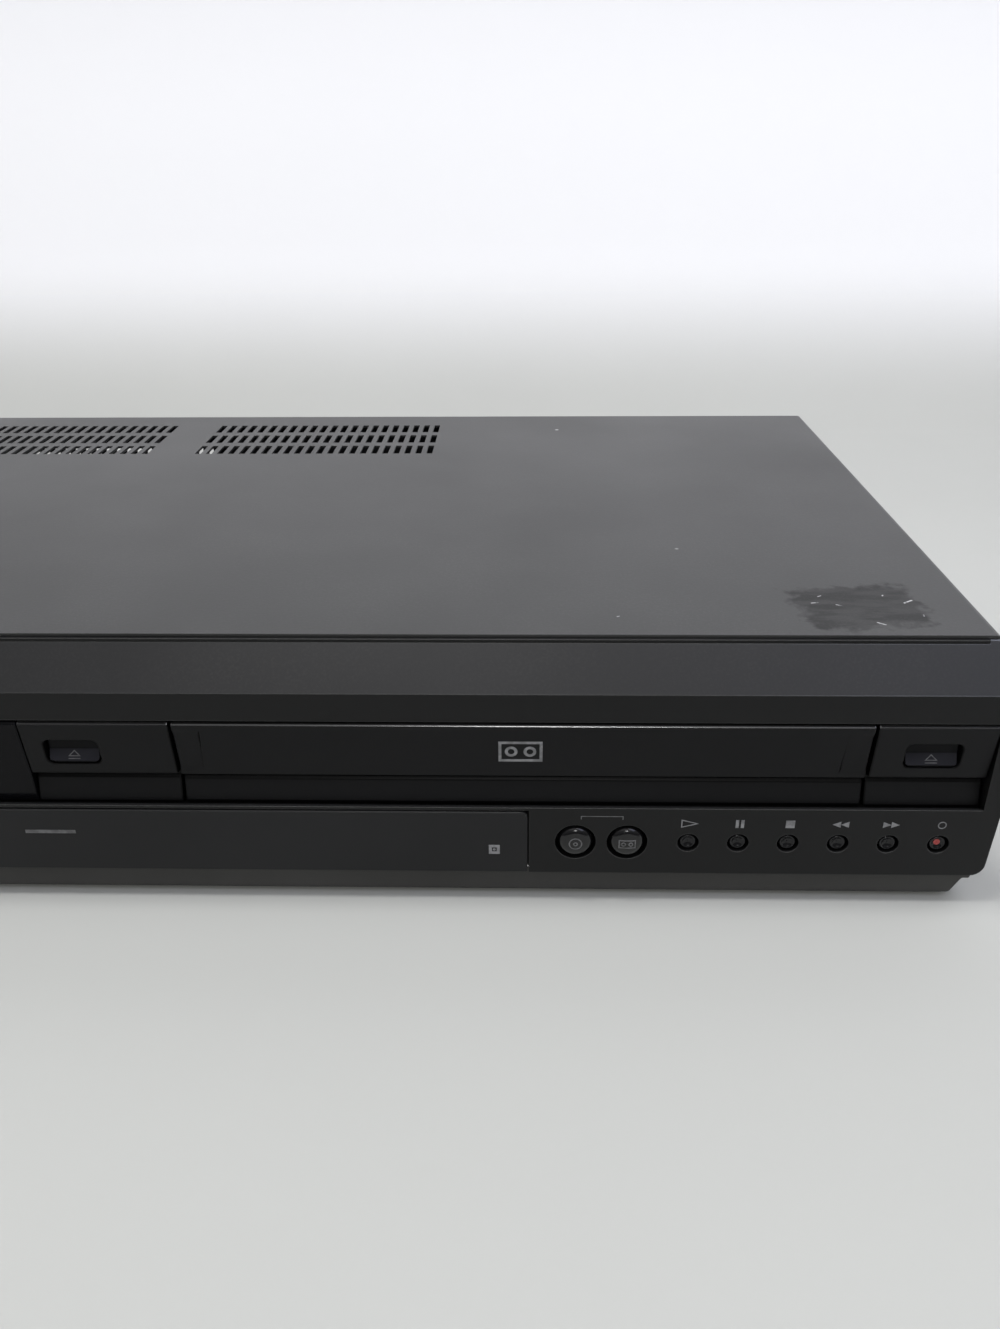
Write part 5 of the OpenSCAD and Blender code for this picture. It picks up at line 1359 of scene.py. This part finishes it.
@dataclass
class RearSockets(Assembly):
    """Phono sockets and the mains inlet."""

    dresses: tuple[Dress, ...] = (
        Dress(("phono_sockets", "mains_inlet"), SOCKET),
    )
    barrel_radius: float = 4.1 * MM
    bore_radius: float = 1.6 * MM
    barrel_length: float = 6.7 * MM
    columns: tuple[float, ...] = (6 * MM, 20 * MM, 34 * MM, 62 * MM, 76 * MM)
    rows: tuple[float, ...] = (42 * MM, 26 * MM)
    pin_offset: float = 4.3 * MM
    pin_radius: float = 1.2 * MM
    pin_sink: float = 2.4 * MM
    pin_rise: float = 24 * MM
    tints: tuple[tuple[Tint, ...], ...] = (
        (Tint.YELLOW, Tint.WHITE, Tint.RED, Tint.GREEN, Tint.BLUE),
        (Tint.YELLOW, Tint.WHITE, Tint.RED, Tint.ORANGE, Tint.RED),
    )
    lathe: Lathe = Lathe(-math.pi / 2, 40, "connector_plastic")

    def socket(self, name: str, place: Vector, tint: Tint) -> Iterable[Piece]:
        """Makes a socket's plated sleeve, its coloured insulator and the coloured ring at its foot.

        Args:
            name: what the pieces' names start with.
            place: the middle of the socket's end.
            tint: the socket's colour.

        Returns:
            The three pieces.
        """
        skin, length = 0.06 * MM, self.barrel_length
        outer, inner = self.barrel_radius, self.barrel_radius - 0.75 * MM
        sleeve = [(outer - skin, -length), (outer + skin, -length), (outer + skin, -0.25 * MM),
                  (outer - 0.2 * MM, skin), (inner, skin), (inner, -skin), (outer - skin, -0.3 * MM)]
        plug = [(self.bore_radius, -0.5 * MM), (inner, -0.5 * MM), (inner, 0.5 * skin),
                (self.bore_radius, 0.5 * skin)]
        foot = [(outer + skin, -length), (outer + 1.3 * MM, -length), (outer + 1.3 * MM, -length + 0.5 * MM),
                (outer + 1.0 * MM, -length + 0.8 * MM), (outer + skin, -length + 0.8 * MM)]
        for part, profile, finish in (("sleeve", sleeve, NICKEL), ("insulator", plug, tint.finish()),
                                      ("ring", foot, tint.finish())):
            yield self.lathe.turn(f"{name}_{part}", place, profile, "case", finish)

    def extras(self) -> Iterable[Piece]:
        """Adds the sockets' metal and colours, and the inlet's plated pins.

        Returns:
            The pieces.
        """
        low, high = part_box("phono_sockets")
        for row, (z, tints) in enumerate(zip(self.rows, self.tints)):
            for column, (across, tint) in enumerate(zip(self.columns, tints)):
                yield from self.socket(f"phono_{row}_{column}", Vector((low.x + across, high.y, z)), tint)
        low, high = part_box("mains_inlet")
        skin = 0.04 * MM
        inner, outer = self.pin_radius - 2 * skin, self.pin_radius + skin
        pin = [(inner, -9 * MM), (outer, -9 * MM), (outer, -0.3 * MM), (self.pin_radius - 0.3 * MM, skin),
               (0.05 * MM, skin), (0.05 * MM, -skin), (inner, -0.4 * MM)]
        for side, name in ((-1, "left"), (1, "right")):
            x = (low.x + high.x) / 2 + side * self.pin_offset
            place = Vector((x, high.y - self.pin_sink, self.pin_rise))
            yield self.lathe.turn(f"inlet_pin_{name}", place, pin, "case", NICKEL)


# ---- studio


@dataclass(frozen=True)
class Lamp:
    """A soft rectangular lamp: where it hangs, the point that it faces, its sides, watts and colour."""

    name: str
    place: tuple[float, float, float]
    aim: tuple[float, float, float]
    size: Point
    power: float
    color: Color = (1.0, 1.0, 1.0)

    def hang(self) -> None:
        """Makes the lamp and turns it to its aim."""
        data = bpy.data.lights.new(self.name, "AREA")
        data.shape = "RECTANGLE"
        data.size, data.size_y = self.size
        data.energy = self.power
        data.color = self.color
        lamp = placed(self.name, data)
        lamp.location = self.place
        lamp.rotation_euler = (Vector(self.aim) - lamp.location).to_track_quat("-Z", "Y").to_euler()


@dataclass
class Studio:
    """Camera, floor, backdrop and lamps.

    The lamps are a small bright one above, a spark before the buttons, a wide faint one over the
    camera, a cool wash on the backdrop and a cool one at the right.
    """

    focal: float = 28.443
    pitch: float = 27.401
    yaw: float = 1.563
    roll: float = -0.543
    from_flap: float = 1.3 * MM
    before_front: float = 246.7 * MM
    above_floor: float = 206.9 * MM
    floor_color: Color = (0.56, 0.565, 0.535)
    wall_color: Color = (0.73, 0.73, 0.75)
    wall_glow: float = 0.55
    wall_y: float = 0.52
    wall_top: float = 2.6
    bend: float = 0.12
    floor_half: float = 3.0
    lamps: tuple[Lamp, ...] = (
        Lamp("ceiling", (-0.15, -0.15, 1.5), (-0.15, -0.15, 0.0), (0.36, 0.32), 10.6),
        Lamp("spark", (0.12, -1.35, 1.05), (0.16, -0.13, 0.02), (0.30, 0.10), 4.0),
        Lamp("front", (-0.05, -0.85, 1.45), (0.0, -0.1, 0.05), (1.9, 0.5), 1.0),
        Lamp("backdrop", (0.85, -0.05, 1.5), (0.6, 0.5, 0.25), (1.3, 0.6), 7.0, (0.93, 0.93, 1.0)),
        Lamp("side", (0.9, -0.55, 1.2), (0.1, -0.1, 0.05), (0.7, 0.7), 3.0, (0.70, 0.76, 1.0)),
    )

    def build(self) -> None:
        """Sets up everything round the player."""
        self.camera()
        self.cove()
        for lamp in self.lamps:
            lamp.hang()
        self.world()
        bpy.context.scene.view_settings.view_transform = "Standard"

    def camera(self) -> None:
        """Puts the camera before the front, looking down at it."""
        data = bpy.data.cameras.new("camera")
        data.lens = self.focal
        data.sensor_width = 36.0
        data.clip_start = 0.01
        camera = placed("camera", data)
        place = Vector((middle_of("cassette_flap").x + self.from_flap,
                        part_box("front_fascia")[0].y - self.before_front, self.above_floor))
        turns = ((self.yaw, "Z"), (90.0 - self.pitch, "X"), (self.roll, "Z"))
        steps = [Matrix.Rotation(math.radians(angle), 4, axis) for angle, axis in turns]
        camera.matrix_world = reduce(matmul, steps, Matrix.Translation(place))
        bpy.context.scene.camera = camera

    def cove(self) -> None:
        """Builds the floor, which curves up into the backdrop behind the player."""
        mesh = bmesh.new()
        half, bend = self.floor_half, arc(self.wall_y - self.bend, self.bend, self.bend, -90.0, 0.0, 12)
        profile = [(-half, 0.0), *bend, (self.wall_y, self.wall_top)]
        rows = [[mesh.verts.new((x, y, z)) for x in (-half, half)] for y, z in profile]
        for low, high in zip(rows, rows[1:]):
            mesh.faces.new((low[0], low[1], high[1], high[0])).smooth = True
        cove = placed("cove", mesh)
        cove.data.materials.append(self.cove_material())

    def cove_material(self) -> bpy.types.Material:
        """Mixes the cove's dull paint, a little darker on the floor, with a backdrop that stays pale.

        Returns:
            The material.
        """
        shader = Shader("cove")
        height = shader.parts(shader.place())["Z"]
        rise = shader.span(height, 0.0, self.bend)
        floor = shader.effect(Effect.MOTTLE, Color=self.floor_color, Second=paler(self.floor_color, 0.97),
                              Scale=3.0)["Color"]
        color = shader.blend(rise, floor, self.wall_color)
        path = shader.add("LightPath")
        mirrored = shader.math("ADD", path["Is Glossy Ray"], path["Is Transmission Ray"])
        seen = shader.math("ADD", path["Is Camera Ray"], mirrored, clamp=True)
        high = shader.span(height, 0.2, 0.5, (1.0, 0.35))
        shader.set(Base_Color=color, Roughness=0.7, Specular_IOR_Level=0.2, Emission_Color=color,
                   Emission_Strength=shader.times(seen, rise, high, self.wall_glow))
        return shader.material

    def world(self) -> None:
        """Makes the room: pale above and behind, dark on the camera's side."""
        world = bpy.data.worlds.new("room")
        bpy.context.scene.world = world
        world.use_nodes = True
        world.node_tree.nodes.clear()
        canvas = Canvas(world.node_tree)
        parts = canvas.parts(canvas.add("TexCoord")["Generated"])
        pale = canvas.math("ADD", canvas.times(parts["Y"], 0.35), canvas.times(parts["Z"], 0.75))
        share = canvas.math("ADD", pale, 0.32, clamp=True)
        color = canvas.blend(share, (0.04, 0.04, 0.045), (0.42, 0.42, 0.42))
        canvas.add("OutputWorld", {"Surface": canvas.add("Background", {"Color": color})["Background"]})


def main() -> None:
    """Builds the studio and every sub-assembly, and reports each piece."""
    logging.basicConfig(level=logging.INFO, format="%(message)s")
    Studio().build()
    for kind in (Case, Fascia, Buttons, Flap, DiscDrive, TapeDeck, Electronics, RearSockets):
        for piece in kind().build():
            LOG.info("%s: %s", kind.__name__, piece.name)


if __name__ == "__main__":
    make_effects()
    main()
